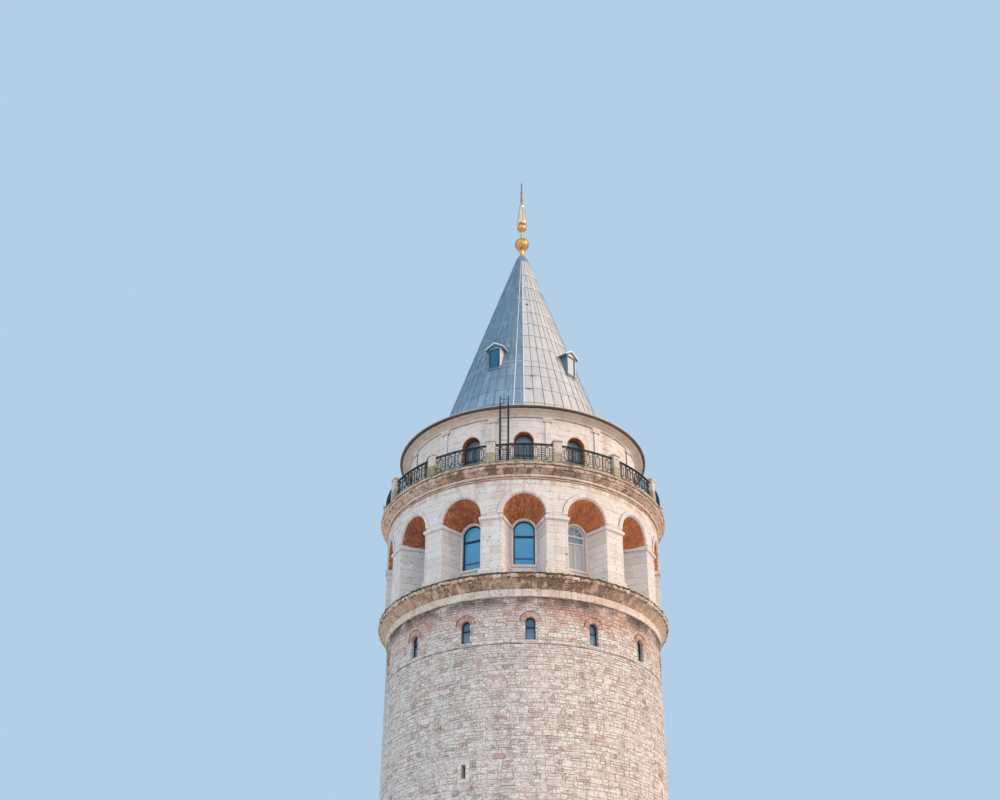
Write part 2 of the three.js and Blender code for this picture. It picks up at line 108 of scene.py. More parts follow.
# A finish is one material under construction: a first colour, or stops read by each block's tint, and the
# coats laid over it.
class Finish:
    def __init__(self, name, colour=None, stops=None):
        self.material = bpy.data.materials.new(name)
        self.material.use_nodes = True
        self.tree = self.material.node_tree
        self.tree.nodes.clear()
        self.shader = self.node("BsdfPrincipled", None, None)
        output = self.node("OutputMaterial", None, None)
        self.tree.links.new(self.shader.outputs[0], output.inputs["Surface"])
        self.place = self.node("TexCoord", None, "Object")
        self.x, self.y, self.z = (
            Wire(self, socket) for socket in self.node("SeparateXYZ", {0: self.place}, None).outputs
        )
        self.colour = colour
        if stops:
            self.tint = self.attribute("tint")
            self.colour = self.ramp(self.tint, stops)

    def connect(self, socket, value):
        if isinstance(value, Wire):
            self.tree.links.new(value.socket, socket)
        else:
            socket.default_value = value

    def node(self, kind, sockets=None, output=0, **settings):
        made = self.tree.nodes.new("ShaderNode" + kind)
        for key, value in settings.items():
            if key == "stops":
                self.setStops(made.color_ramp, value)
            else:
                setattr(made, key, value)
        for key, value in (sockets or {}).items():
            self.connect(made.inputs[key], value)
        return made if output is None else Wire(self, made.outputs[output])

    def setStops(self, ramp, stops):
        while len(ramp.elements) < len(stops):
            ramp.elements.new(0.5)
        for element, (place, *colour) in zip(ramp.elements, stops):
            element.position = place
            element.color = (*colour, 1)

    def ramp(self, factor, stops):
        return self.node("ValToRGB", {0: factor}, stops=stops)

    def attribute(self, name):
        return self.node("Attribute", None, "Fac", attribute_name=name)

    # Noise as it comes, or as a soft mask between two of its levels.
    def noise(self, scale, detail=3, mask=None, place=None, roughness=0.55):
        sockets = {"Vector": place or self.place, "Scale": scale, "Detail": detail, "Roughness": roughness}
        made = self.node("TexNoise", sockets)
        return made.between(*mask) if mask else made

    # The object's own coordinates with Z drawn out or squashed.
    def drawnOut(self, upwards):
        return self.node("CombineXYZ", {0: self.x, 1: self.y, 2: self.z * upwards})

    def streaks(self, scale, mask, drawn=0.12, detail=3):
        return self.noise(scale, detail, mask, self.drawnOut(drawn))

    # Small cells as in packed rubble: a random tone for each, and the distance to its edge.
    def cells(self, scale):
        sockets = {"Vector": self.drawnOut(1.7), "Scale": scale}
        tone = self.node("SeparateColor", {0: self.node("TexVoronoi", sockets, "Color")})
        return tone, self.node("TexVoronoi", sockets, "Distance", feature="DISTANCE_TO_EDGE")

    # Lays a colour over what is there, as far as the share says.
    def coat(self, share, colour):
        first, second = (value if isinstance(value, Wire) else (*value, 1) for value in (self.colour, colour))
        sockets = {0: share, 6: first, 7: second}
        self.colour = self.node("Mix", sockets, 2, data_type="RGBA", clamp_factor=True)

    def finished(self, roughness, height=None, distance=0.01, strength=1.0, **uniform):
        self.connect(self.shader.inputs["Base Color"], self.colour)
        self.connect(self.shader.inputs["Roughness"], roughness)
        if height is not None:
            bump = self.node("Bump", {"Strength": strength, "Distance": distance, "Height": height})
            self.connect(self.shader.inputs["Normal"], bump)
        for key, value in uniform.items():
            self.connect(self.shader.inputs[key.replace("_", " ")], value)
        return self.material


# Rubble of the shaft: mixed field stones, pinker and with more brick towards the cornice. Heights in the
# finishes are metres of the model, and a stop is its place in the ramp and its colour.
rubbleLook = {
    "stones": [
        (0.0, 0.34, 0.27, 0.24), (0.07, 0.60, 0.53, 0.49), (0.3, 0.70, 0.64, 0.59), (0.62, 0.76, 0.71, 0.66),
        (0.8, 0.70, 0.58, 0.51), (0.93, 0.60, 0.42, 0.35), (1.0, 0.48, 0.43, 0.40),
    ],
    "white": (0.82, 0.77, 0.73), "joint": (0.36, 0.26, 0.22), "brick": (0.54, 0.28, 0.20),
    "pink": (0.66, 0.44, 0.36), "soot": (0.11, 0.085, 0.075),
    "brickHeights": (14.3, 14.95), "underCorniceHeights": (14.9, 15.3),
}
mortarLook = {"dull": (0.62, 0.53, 0.48), "pale": (0.76, 0.69, 0.64), "grain": (0.26, 0.19, 0.16)}
smearLook = {"lime": (0.75, 0.70, 0.65), "earth": (0.50, 0.38, 0.30)}


def limeSmears(finish, share=0.75):
    finish.coat(finish.noise(2.3, 6, (0.5, 0.6), roughness=0.65) * share, smearLook["lime"])
    finish.coat(finish.noise(1.7, 6, (0.58, 0.7), roughness=0.65) * 0.45, smearLook["earth"])


def makeRubble():
    look = rubbleLook
    finish = Finish("rubble_stone", stops=look["stones"])
    tone, edge = finish.cells(7)
    high = finish.z.between(*look["brickHeights"])
    area = finish.noise(0.55, 3, (0.42, 0.6))
    isBrick = (finish.tint * 7.3).maths("FRACT").maths("LESS_THAN", high * area * 0.5 + 0.004)
    crack = 1 - edge.between(0.01, 0.05)
    grain = finish.noise(26, 5)
    pits = finish.noise(24, 4, (0.57, 0.64), roughness=0.7)
    # Darker just under the cornice.
    under = finish.z.between(*look["underCorniceHeights"]) * finish.noise(1.5, 5, (0.36, 0.54)) * 0.9
    finish.coat(tone.between(0.4, 0.8) * 0.6, look["white"])
    finish.coat((1 - tone).between(0.78, 0.98) * 0.5, look["joint"])
    finish.coat(high * (area * 0.6 + 0.3), look["pink"])
    finish.coat(isBrick * 0.8, look["brick"])
    finish.coat(crack * 0.5, look["joint"])
    finish.coat(grain.between(0.5, 0.7) * 0.6, look["white"])
    limeSmears(finish, 0.55 - high * 0.45)
    finish.coat(pits * 0.7, look["soot"])
    finish.coat((finish.streaks(2.2, (0.52, 0.75)) * 0.28 + under).clamped(), look["soot"])
    height = grain * 0.6 + finish.noise(9) * 0.6 - pits * 0.5 - crack * 0.6
    return finish.finished(0.9, height, 0.014, 0.8)


def makeMortar():
    finish = Finish("lime_mortar", mortarLook["dull"])
    grain = finish.noise(40, 4)
    finish.coat(finish.noise(0.7, 3, (0.35, 0.65)), mortarLook["pale"])
    finish.coat(grain.between(0.45, 0.7) * 0.4, mortarLook["grain"])
    limeSmears(finish)
    return finish.finished(0.95, grain, 0.012, 0.7)


# Dressed stone of the arcade and the drum: pale blocks, each a little different, with rust under the cornice.
ashlarLook = {
    "speck": (0.88, 0.84, 0.80), "pink": (0.62, 0.42, 0.33), "pit": (0.14, 0.11, 0.09),
    "soot": (0.25, 0.17, 0.12),
}


def makeAshlar(name, stops, stain, pitShare, rustHeights=None, dirt=ashlarLook["soot"]):
    finish = Finish(name, stops=stops)
    fine = finish.noise(34, 5)
    pits = finish.noise(19, 3, (0.62, 0.69))
    finish.coat(finish.noise(1.1, 5, (0.35, 0.68)) * 0.45, stain)
    finish.coat(fine.between(0.45, 0.72) * 0.5, ashlarLook["speck"])
    finish.coat(finish.noise(15, 3, (0.60, 0.70)) * 0.5, ashlarLook["pink"])
    finish.coat(pits * pitShare, ashlarLook["pit"])
    streak = finish.streaks(2.6, (0.5, 0.74)) * 0.32
    if rustHeights:
        streak = streak + finish.z.between(*rustHeights) * finish.streaks(6, (0.42, 0.62), 0.2, 4) * 0.65
    finish.coat(streak.clamped(), dirt)
    return finish.finished(0.86, fine * 0.5 - pits * 1.2 + finish.noise(7) * 0.4, 0.010, 0.7)


# Bricks: each with a tone of its own, sooty in places, with a painted warm glow towards +X as of light from
# the right, and less soot there.
darkBricks = [
    (0.0, 0.24, 0.065, 0.03), (0.3, 0.38, 0.10, 0.042), (0.6, 0.47, 0.14, 0.058), (0.85, 0.56, 0.20, 0.08),
    (1.0, 0.58, 0.31, 0.18),
]
pinkBricks = [
    (0.0, 0.44, 0.23, 0.17), (0.4, 0.58, 0.35, 0.26), (0.8, 0.66, 0.45, 0.35), (1.0, 0.62, 0.50, 0.42),
]
brickLook = {"soot": (0.15, 0.06, 0.035), "glow": (0.74, 0.27, 0.085), "dust": (0.55, 0.30, 0.18)}


def makeBrick(name, stops, sootShare, glow):
    finish = Finish(name)
    sockets = {0: finish.attribute("tint") * 37, 1: finish.attribute("bay") * 91}
    chance = finish.node("TexWhiteNoise", {0: finish.node("CombineXYZ", sockets)}, noise_dimensions="2D")
    finish.colour = finish.ramp(chance, stops)
    # Painted light: a warm orange glow grows towards +X and thins the soot there.
    litSideGlow = finish.x.between(-3, 3) * glow
    grain = finish.noise(60, 4)
    finish.coat(finish.noise(4.5, 4, (0.42, 0.66)) * (sootShare - litSideGlow * 0.5), brickLook["soot"])
    finish.coat(litSideGlow * (finish.noise(2.2, 4, (0.45, 0.62)) * 0.5 + 0.25), brickLook["glow"])
    finish.coat(grain.between(0.5, 0.75) * 0.3, brickLook["dust"])
    return finish.finished(0.9, grain + finish.noise(15), 0.012, 0.8)


# Cornices: the tint picks the stone, from pale bands over tan coves and rust to a mossy edge.
lowerStones = [
    (0.0, 0.78, 0.72, 0.66), (0.3, 0.68, 0.52, 0.40), (0.6, 0.50, 0.34, 0.23), (0.8, 0.36, 0.16, 0.08),
    (0.9, 0.20, 0.12, 0.08), (1.0, 0.055, 0.05, 0.03),
]
deckStones = [
    (0.0, 0.74, 0.64, 0.57), (0.3, 0.71, 0.53, 0.43), (0.6, 0.57, 0.38, 0.28), (0.8, 0.38, 0.17, 0.08),
    (0.9, 0.20, 0.12, 0.08), (1.0, 0.055, 0.05, 0.03),
]
postStones = [
    (0.0, 0.68, 0.64, 0.61), (0.4, 0.60, 0.55, 0.50), (0.6, 0.42, 0.40, 0.28), (0.85, 0.30, 0.29, 0.18),
    (1.0, 0.14, 0.13, 0.08),
]
corniceLook = {
    "cloud": (0.62, 0.42, 0.30), "stain": (0.20, 0.105, 0.06), "rust": (0.54, 0.24, 0.11),
    "speck": (0.86, 0.80, 0.73), "moss": (0.06, 0.065, 0.03), "pit": (0.07, 0.05, 0.04),
}


def makeCornice(name, stops, mossLevel, run=1.0):
    look = corniceLook
    finish = Finish(name, stops=stops)
    tint = finish.tint
    middle = tint.between(0.2, 0.4) * (1 - tint.between(0.7, 0.8))
    bare = 1 - tint.between(0.82, 0.95)
    finish.coat(finish.noise(2.6, 5, (0.38, 0.66)) * bare * 0.4, look["cloud"])
    patches = finish.noise(1.3, 4, (0.32, 0.55)) * 0.7 + 0.3
    front = 1.3 - finish.x * finish.x * 0.07
    # Stains are heavier on the middle-tint strips and fade towards the sides in x; on the cove under the lip
    # this darkening is partly real staining and partly painted shade.
    stain = (finish.streaks(5, (0.36, 0.54), 0.14, 5) * patches * front).clamped()
    finish.coat(stain * (middle * 0.75 + 0.2) * run, look["stain"])
    finish.coat(finish.noise(4, 4, (0.54, 0.68)) * 0.5 * run, look["rust"])
    fine = finish.noise(30, 5)
    finish.coat(fine.between(0.52, 0.70) * (bare * 0.4 + 0.1), look["speck"])
    moss = (finish.z + finish.noise(3.5, 5) * 0.16).between(mossLevel, mossLevel + 0.03)
    finish.coat(moss * finish.noise(13, 4, (0.36, 0.5)) * 0.9, look["moss"])
    pits = finish.noise(18, 3, (0.62, 0.70))
    finish.coat(pits * 0.75, look["pit"])
    return finish.finished(0.92, fine + finish.noise(8, 4) * 1.2 + moss * 0.6 - pits, 0.018, 0.9)


# Lead: the tint runs from dark joints over blue grey sheets to pale ones. The blue grey sheets are painted
# shade and the pale ones painted sunlight: shaded and lit copies of the same lead.
leadSheets = [
    (0.0, 0.07, 0.09, 0.11), (0.15, 0.15, 0.25, 0.34), (0.4, 0.26, 0.38, 0.49), (0.6, 0.53, 0.51, 0.49),
    (0.85, 0.64, 0.61, 0.58), (1.0, 0.82, 0.81, 0.80),
]
leadLook = {
    "deep": (0.075, 0.17, 0.24), "shadeBlueHeights": (21.8, 25), "weathered": (0.46, 0.49, 0.51),
    "run": (0.66, 0.66, 0.65), "dull": (0.20, 0.24, 0.28),
}


def makeLead():
    look = leadLook
    finish = Finish("lead_sheet", stops=leadSheets)
    dark = 1 - finish.tint.between(0.42, 0.5)
    fine = finish.noise(24, 4)
    # Painted shade: the dark-tinted sheets, seams and joints turn a deeper blue higher up the cone.
    finish.coat(dark * finish.z.between(*look["shadeBlueHeights"]) * 0.75, look["deep"])
    finish.coat(finish.noise(1.6, 5, (0.35, 0.7)) * (0.25 - dark * 0.1), look["weathered"])
    finish.coat(finish.streaks(9, (0.5, 0.72), 0.1, 4) * 0.25, look["run"])
    finish.coat(finish.streaks(6, (0.54, 0.7), 0.1) * 0.35, look["dull"])
    return finish.finished(0.36 + fine * 0.2, finish.noise(5) + fine * 0.25, 0.02, 0.45, Metallic=0.15)


def makePlain(name, light, dark, roughness, metallic=0.0, grainScale=40, distance=0.004):
    finish = Finish(name, light)
    grain = finish.noise(grainScale, 4)
    finish.coat(finish.noise(2.2, 4, (0.38, 0.66)), dark)
    finish.coat(grain.between(0.55, 0.75) * 0.35, [min(1, 1.6 * value) for value in light])
    return finish.finished(roughness + (grain - 0.5) * 0.2, grain, distance, 0.6, Metallic=metallic)


# Gilding, and the bare dark rod at its tip.
goldLook = {"rod": (0.20, 0.15, 0.11), "rodHeights": (32.3, 32.6)}


def makeGold(name, light, dark):
    finish = Finish(name, light)
    wear = finish.noise(9, 5, (0.48, 0.7))
    finish.coat(wear * 0.5, dark)
    finish.coat(finish.z.between(*goldLook["rodHeights"]) * 0.85, goldLook["rod"])
    return finish.finished(0.24 + wear * 0.22, finish.noise(26), 0.004, 0.3, Metallic=1.0)


# Window glass: the pane's colour blends by height and in patches into the sky colour, a painted sky
# reflection, with a slight ripple; a pane with a high tint takes a pale painted reflection.
paintedReflectionPane = (0.58, 0.60, 0.62)


def makeGlass(name, sky, deep, heights, shine=0.5):
    finish = Finish(name, deep)
    finish.coat((finish.z.between(*heights) * 0.7 + finish.noise(0.9) * 0.6).clamped(), sky)
    finish.coat(finish.attribute("tint").between(0.6, 0.9), paintedReflectionPane)
    uniform = {"Specular_IOR_Level": shine, "Coat_Weight": shine * 0.4}
    return finish.finished(0.1, finish.noise(1.4, 2), 0.02, 0.25, **uniform)


oakLook = {"dark": (0.09, 0.045, 0.02), "light": (0.26, 0.14, 0.07), "stained": (0.12, 0.07, 0.04)}


def makeOak():
    finish = Finish("oak_boards", oakLook["dark"])
    boards = finish.node("CombineXYZ", {0: finish.x * 9, 1: finish.y * 9, 2: finish.z * 0.6})
    grain = finish.noise(3.2, 6, None, boards)
    finish.coat(grain.between(0.3, 0.7), oakLook["light"])
    finish.coat(finish.attribute("tint") * 0.5, oakLook["stained"])
    return finish.finished(0.62, grain, 0.006, 0.7)


paleStones = [
    (0.0, 0.62, 0.57, 0.54), (0.3, 0.70, 0.65, 0.62), (0.65, 0.75, 0.71, 0.68), (0.9, 0.69, 0.61, 0.55),
    (1.0, 0.60, 0.51, 0.45),
]
drumStones = [
    (0.0, 0.68, 0.61, 0.57), (0.5, 0.74, 0.68, 0.64), (0.85, 0.77, 0.72, 0.68), (1.0, 0.67, 0.57, 0.51),
]
renderStones = [(0.0, 0.68, 0.61, 0.55), (1.0, 0.72, 0.66, 0.60)]
finishes = {
    "rubble": makeRubble(),
    "mortar": makeMortar(),
    "ashlar": makeAshlar(
        "arcade_stone", paleStones, (0.66, 0.60, 0.56), 0.75, (18.55, 18.95), (0.46, 0.29, 0.19),
    ),
    "render": makeAshlar("pale_render", renderStones, (0.60, 0.51, 0.46), 0.5),
    "drumStone": makeAshlar("drum_stone", drumStones, (0.76, 0.68, 0.63), 0.3),
    "brick": makeBrick("fired_brick", darkBricks, 0.6, 1.0),
    "paleBrick": makeBrick("pale_brick", pinkBricks, 0.35, 0.0),
    "lowerCornice": makeCornice("lower_cornice_stone", lowerStones, 15.985),
    "deckCornice": makeCornice("deck_cornice_stone", deckStones, 19.4),
    "eaveStone": makeCornice("eave_stone", deckStones, 30.0, 0.3),
    "post": makeCornice("post_stone", postStones, 20.3, 0.5),
    "floor": makePlain("floor_stone", (0.45, 0.41, 0.37), (0.32, 0.29, 0.26), 0.9, 0, 12, 0.01),
    "lead": makeLead(),
    "eaveMetal": makePlain("painted_eave", (0.15, 0.085, 0.055), (0.07, 0.045, 0.03), 0.5, 0.2, 18),
    # Dark lines: real joints, and the painted shadow lines beside the arch rings.
    "line": makePlain("dark_joint_and_shadow_line", (0.28, 0.21, 0.18), (0.16, 0.12, 0.10), 0.9, 0, 14, 0.01),
    "iron": makePlain("painted_iron", (0.012, 0.022, 0.026), (0.022, 0.030, 0.032), 0.45, 0.4),
    "darkFrame": makePlain("dark_frame", (0.016, 0.024, 0.04), (0.022, 0.03, 0.045), 0.4, 0.3),
    "paleFrame": makePlain("pale_frame", (0.66, 0.66, 0.66), (0.56, 0.57, 0.58), 0.45),
    "gold": makeGold("gilding", (0.72, 0.38, 0.15), (0.42, 0.18, 0.06)),
    "paleGold": makeGold("pale_gilding", (0.80, 0.61, 0.45), (0.60, 0.40, 0.26)),
    "glass": makeGlass("window_glass", (0.08, 0.38, 0.64), (0.03, 0.24, 0.48), (16.2, 18.1)),
    "paleGlass": makeGlass("grey_glass", (0.14, 0.26, 0.33), (0.55, 0.54, 0.53), (17.36, 17.46)),
    "drumGlass": makeGlass("drum_glass_panes", (0.16, 0.27, 0.33), (0.04, 0.08, 0.10), (19.6, 21.2)),
    "shaftGlass": makeGlass("shaft_glass", (0.04, 0.12, 0.19), (0.16, 0.31, 0.42), (14.2, 14.6)),
    "roofGlass": makeGlass("dormer_glass", (0.02, 0.14, 0.24), (0.012, 0.08, 0.15), (24.1, 24.9), 0.2),
    "oak": makeOak(),
}
print("stage: finishes made")


# Places and outlines. An outline is a list of (across, height) seen from outside.
def turned(point, turn):
    angle = radians(turn)
    x, y, z = point
    return (x * cos(angle) - y * sin(angle), x * sin(angle) + y * cos(angle), z)


# A point of the round wall by azimuth in degrees, radius and height; azimuth 0 faces -Y.
def onRound(azimuth, radius, height):
    angle = radians(azimuth)
    return (radius * sin(angle), -radius * cos(angle), height)


# A point in the front bay's elevation: on the round of a radius, or on a flat plane at a depth.
def inBay(across, radius, height):
    return (across, -sqrt(max(radius * radius - across * across, 0)), height)


def inPlane(across, depth, height):
    return (across, -depth, height)


def flat(points, depth):
    return [(x, -depth, z) for x, z in points]


def rect(left, right, low, high):
    return [(left, low), (right, low), (right, high), (left, high)]


def mirrored(side, near, far):
    return sorted((side * near, side * far))


def arc(reach, centre, first, last, steps):
    angles = [first + (last - first) * step / steps for step in range(steps + 1)]
    return [(reach * cos(angle), centre + reach * sin(angle)) for angle in angles]


def archPoints(half, sill, spring, steps=14):
    return [(-half, sill), (half, sill), *arc(half, spring, 0, pi, steps)]


def shrunk(outline, amount):
    middleX = sum(x for x, _ in outline) / len(outline)
    middleZ = sum(z for _, z in outline) / len(outline)
    small = []
    for x, z in outline:
        reach = hypot(x - middleX, z - middleZ)
        keep = max(0.2, 1 - amount / max(reach, 0.001) * 1.3)
        small.append((middleX + (x - middleX) * keep, middleZ + (z - middleZ) * keep))
    return small


# Without a seed of its own the noise would differ from run to run.
weatherSeed = 19
noise.seed_set(weatherSeed)


# A mason gathers closed blocks, in real metres, into one mesh. Each block carries its own tint.
class Mason:
    def __init__(self):
        self.points, self.faces, self.tints = [], [], []

    # Rings of equal length, joined in turn and closed at both ends, or joined round if looped.
    def loft(self, rings, tint=0.5, looped=False):
        start, count = len(self.points), len(rings[0])
        for ring in rings:
            self.points += [tuple(point) for point in ring]
        self.tints += [tint] * (count * len(rings))
        for level in range(len(rings) if looped else len(rings) - 1):
            low = start + level * count
            high = start + (level + 1) % len(rings) * count
            for index in range(count):
                after = (index + 1) % count
                self.faces.append((low + index, low + after, high + after, high + index))
        if not looped:
            self.faces.append(tuple(range(start + count - 1, start - 1, -1)))
            last = start + (len(rings) - 1) * count
            self.faces.append(tuple(range(last, last + count)))

    # Takes over another mason's blocks, turned about the tower's axis.
    def takeOver(self, other, turn=0):
        start = len(self.points)
        self.points += [turned(point, turn) for point in other.points]
        self.faces += [tuple(start + index for index in face) for face in other.faces]
        self.tints += other.tints

    def box(self, low, high, tint=0.5, turn=0.0):
        corners = rect(low[0], high[0], low[1], high[1])
        self.loft([[turned((x, y, z), turn) for x, y in corners] for z in (low[2], high[2])], tint)

    def bar(self, left, right, low, high, near, far):
        self.box((left, -far, low), (right, -near, high))

    # A dressed block between two depths, its outer face drawn in by the chamfer.
    def block(self, outline, near, far, chamfer, tint, place=inBay, drawnIn=None):
        layers = ((near, outline), (far - chamfer, outline), (far, shrunk(outline, drawnIn or chamfer)))
        self.loft([[place(x, depth, z) for x, z in shape] for depth, shape in layers], tint)

    def slab(self, points, near, far, tint=0.5):
        self.loft([flat(points, near), flat(points, far)], tint)

    def archFrame(self, half, width, sill, spring, near, far, steps=14, tint=0.5):
        outer = archPoints(half, sill, spring, steps)
        inner = archPoints(half - width, sill + width, spring, steps)
        rings = [
            [(xo, -near, zo), (xo, -far, zo), (xi, -far, zi), (xi, -near, zi)]
            for (xo, zo), (xi, zi) in zip(outer, inner)
        ]
        self.loft(rings, tint, looped=True)

    # A bar that follows a path, with its section squared to the tower's radius.
    def tube(self, path, thickness, sides=4, looped=False, tint=0.5, taper=1.0):
        rings = []
        count = len(path)
        for index, point in enumerate(path):
            reach = thickness * (1 + (taper - 1) * index / count)
            before = path[index - 1] if looped or index else path[0]
            after = path[(index + 1) % count] if looped or index < count - 1 else path[-1]
            along = (Vector(after) - Vector(before)).normalized()
            outwards = Vector((point[0], point[1], 0))
            outwards = outwards.normalized() if outwards.length > 0.01 else Vector((0, -1, 0))
            side = along.cross(outwards)
            side = side.normalized() if side.length > 0.01 else Vector((1, 0, 0))
            up = side.cross(along)
            angles = [2 * pi * (corner + 0.5) / sides for corner in range(sides)]
            spokes = [(reach * cos(angle), reach * sin(angle)) for angle in angles]
            rings.append([Vector(point) + side * sideways + up * upwards for sideways, upwards in spokes])
        self.loft(rings, tint, looped)

    # Turned about the tower's axis from (radius, height) points: a ring, or closed along the axis.
    def ring(self, profile, steps=168, tint=0.5):
        rings = [[onRound(360 * step / steps, *point) for point in profile] for step in range(steps)]
        self.loft(rings, tint, looped=True)

    def spindle(self, profile, steps, tint=0.5):
        self.loft([[onRound(360 * step / steps, *point) for step in range(steps)] for point in profile], tint)

    def weather(self, amount, scale):
        places = [Vector(point) for point in self.points]
        self.points = [tuple(place + noise.noise_vector(place * scale) * amount) for place in places]

    def make(self, name, smooth=False):
        mesh = bpy.data.meshes.new(name)
        points = [tuple(value * modelScale for value in point) for point in self.points]
        mesh.from_pydata(points, [], self.faces)
        mesh.attributes.new("tint", "FLOAT", "POINT").data.foreach_set("value", self.tints)
        shape = bmesh.new()
        shape.from_mesh(mesh)
        bmesh.ops.recalc_face_normals(shape, faces=shape.faces)
        shape.to_mesh(mesh)
        shape.free()
        mesh.polygons.foreach_set("use_smooth", [smooth] * len(mesh.polygons))
        return addObject(name, mesh)

    # The finished piece, as it stands or repeated round the tower.
    def lay(self, name, finish, slot, replaced=(), smooth=False):
        settle(self.make(name, smooth), finish, replaced)

    def layRound(self, name, finish, slot, replaced=(), count=bayCount, first=0.0, step=None):
        turns = {"First turn": radians(first), "Step": radians(360 / count if step is None else step)}
        piece = applyTree(self.make(name), bayTree, {"Count": count, **turns}, finish, name)
        settle(piece, finish, replaced)


def settle(piece, finish, replaced=()):
    piece.data.materials.clear()
    piece.data.materials.append(finishes[finish])
    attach(piece, "root")
    if replaced:
        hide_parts(*replaced)


# Geometry Nodes: one tree sets stones at points, the other repeats a bay round the tower.
class Tree:
    def __init__(self, name, inputs):
        self.tree = bpy.data.node_groups.new(name, "GeometryNodeTree")
        self.inputs = {}
        for label, kind in {"Geometry": "Geometry", "Finish": "Material", **inputs}.items():
            self.inputs[label] = self.socket(label, "INPUT", kind).identifier
        self.socket("Geometry", "OUTPUT", "Geometry")
        self.entry = self.tree.nodes.new("NodeGroupInput")
        self.exit = self.tree.nodes.new("NodeGroupOutput")

    def socket(self, label, side, kind):
        return self.tree.interface.new_socket(label, in_out=side, socket_type="NodeSocket" + kind)

    def given(self, label):
        return self.entry.outputs[label]

    def node(self, kind, sockets=None, output=0, **settings):
        made = self.tree.nodes.new(kind)
        for key, value in settings.items():
            setattr(made, key, value)
        for key, value in (sockets or {}).items():
            if isinstance(value, bpy.types.NodeSocket):
                self.tree.links.new(value, made.inputs[key])
            else:
                made.inputs[key].default_value = value
        return made.outputs[output]

    def close(self, geometry):
        dressed = self.node("GeometryNodeSetMaterial", {0: geometry, "Material": self.given("Finish")})
        self.tree.links.new(dressed, self.exit.inputs[0])


def makeStoneTree():
    tree = Tree("layStones", {"Stone": "Object", "Chipping": "Float", "Grain": "Float"})
    size, turn = (
        tree.node("GeometryNodeInputNamedAttribute", {"Name": name}, data_type="FLOAT_VECTOR")
        for name in ("size", "turn")
    )
    placed = tree.node("GeometryNodeInstanceOnPoints", {
        "Points": tree.given("Geometry"),
        "Instance": tree.node("GeometryNodeObjectInfo", {"Object": tree.given("Stone")}, "Geometry"),
        "Rotation": tree.node("FunctionNodeEulerToRotation", {0: turn}),
        "Scale": size,
    })
    solid = tree.node("GeometryNodeRealizeInstances", {0: placed})
    sockets = {"Vector": tree.node("GeometryNodeInputPosition"), "Scale": tree.given("Grain"), "Detail": 1.0}
    grain = tree.node("ShaderNodeTexNoise", sockets, "Color")
    centred = tree.node("ShaderNodeVectorMath", {0: grain, 1: (0.5, 0.5, 0.5)}, operation="SUBTRACT")
    sockets = {0: centred, "Scale": tree.given("Chipping")}
    moved = tree.node("ShaderNodeVectorMath", sockets, operation="SCALE")
    tree.close(tree.node("GeometryNodeSetPosition", {"Geometry": solid, "Offset": moved}))
    return tree


def makeBayTree():
    tree = Tree("roundTheTower", {"Count": "Int", "First turn": "Float", "Step": "Float"})
    index = tree.node("GeometryNodeInputIndex")
    sockets = {0: index, 1: tree.given("Step"), 2: tree.given("First turn")}
    turn = tree.node("ShaderNodeMath", sockets, operation="MULTIPLY_ADD")
    upright = tree.node("ShaderNodeCombineXYZ", {2: turn})
    placed = tree.node("GeometryNodeInstanceOnPoints", {
        "Points": tree.node("GeometryNodePoints", {"Count": tree.given("Count")}),
        "Instance": tree.given("Geometry"),
        "Rotation": tree.node("FunctionNodeEulerToRotation", {0: upright}),
    })
    sockets = {"Geometry": placed, "Name": "bay", "Value": index}
    named = tree.node("GeometryNodeStoreNamedAttribute", sockets, data_type="FLOAT", domain="INSTANCE")
    tree.close(tree.node("GeometryNodeRealizeInstances", {0: named}))
    return tree


def applyTree(piece, tree, values, finish, name):
    modifier = piece.modifiers.new(tree.tree.name, "NODES")
    modifier.node_group = tree.tree
    for label, value in {"Finish": finishes[finish], **values}.items():
        modifier[tree.inputs[label]] = value
    graph = bpy.context.evaluated_depsgraph_get()
    graph.update()
    mesh = bpy.data.meshes.new_from_object(piece.evaluated_get(graph))
    old = piece.data
    piece.modifiers.clear()
    piece.data = mesh
    piece.name = mesh.name = name
    bpy.data.meshes.remove(old)
    return piece


# One rough stone: its face is smaller than its back, so the joints open towards the front.
def makeStoneShape():
    mason = Mason()
    mason.loft([
        [(x / modelScale, depth / modelScale, z / modelScale) for x, z in rect(-wide, wide, -tall, tall)]
        for depth, wide, tall in ((2, 1, 1), (0.25, 1, 1), (0, 0.94, 0.9))
    ])
    shape = mason.make("stone_shape")
    # The tint is taken off, because each stone gets its own where it is laid.
    shape.data.attributes.remove(shape.data.attributes["tint"])
    return shape


stoneTree = makeStoneTree()
bayTree = makeBayTree()
stoneShape = makeStoneShape()


# Splits a run of wall into stones that fill it exactly.
def fillRun(start, end, width, spread, dice):
    count = max(1, round((end - start) / width))
    shares = [1 + spread * (dice.random() * 2 - 1) for _ in range(count)]
    total = sum(shares)
    runs = []
    place = start
    for share in shares:
        length = (end - start) * share / total
        runs.append((place, length))
        place += length
    return runs


# Free runs of a course, in degrees, between the openings that it meets.
def freeRuns(low, high, openings, start):
    blocked = []
    for azimuth, halfTurn, sill, head in openings:
        if low < head and high > sill:
            centre = (azimuth - start) % 360 + start
            blocked.append((centre - halfTurn, centre + halfTurn))
    blocked.sort()
    if not blocked:
        return [(start, start + 360)]
    ends = [first for first, _ in blocked[1:]] + [blocked[0][0] + 360]
    return [(after, before) for (_, after), before in zip(blocked, ends) if before - after > 0.3]


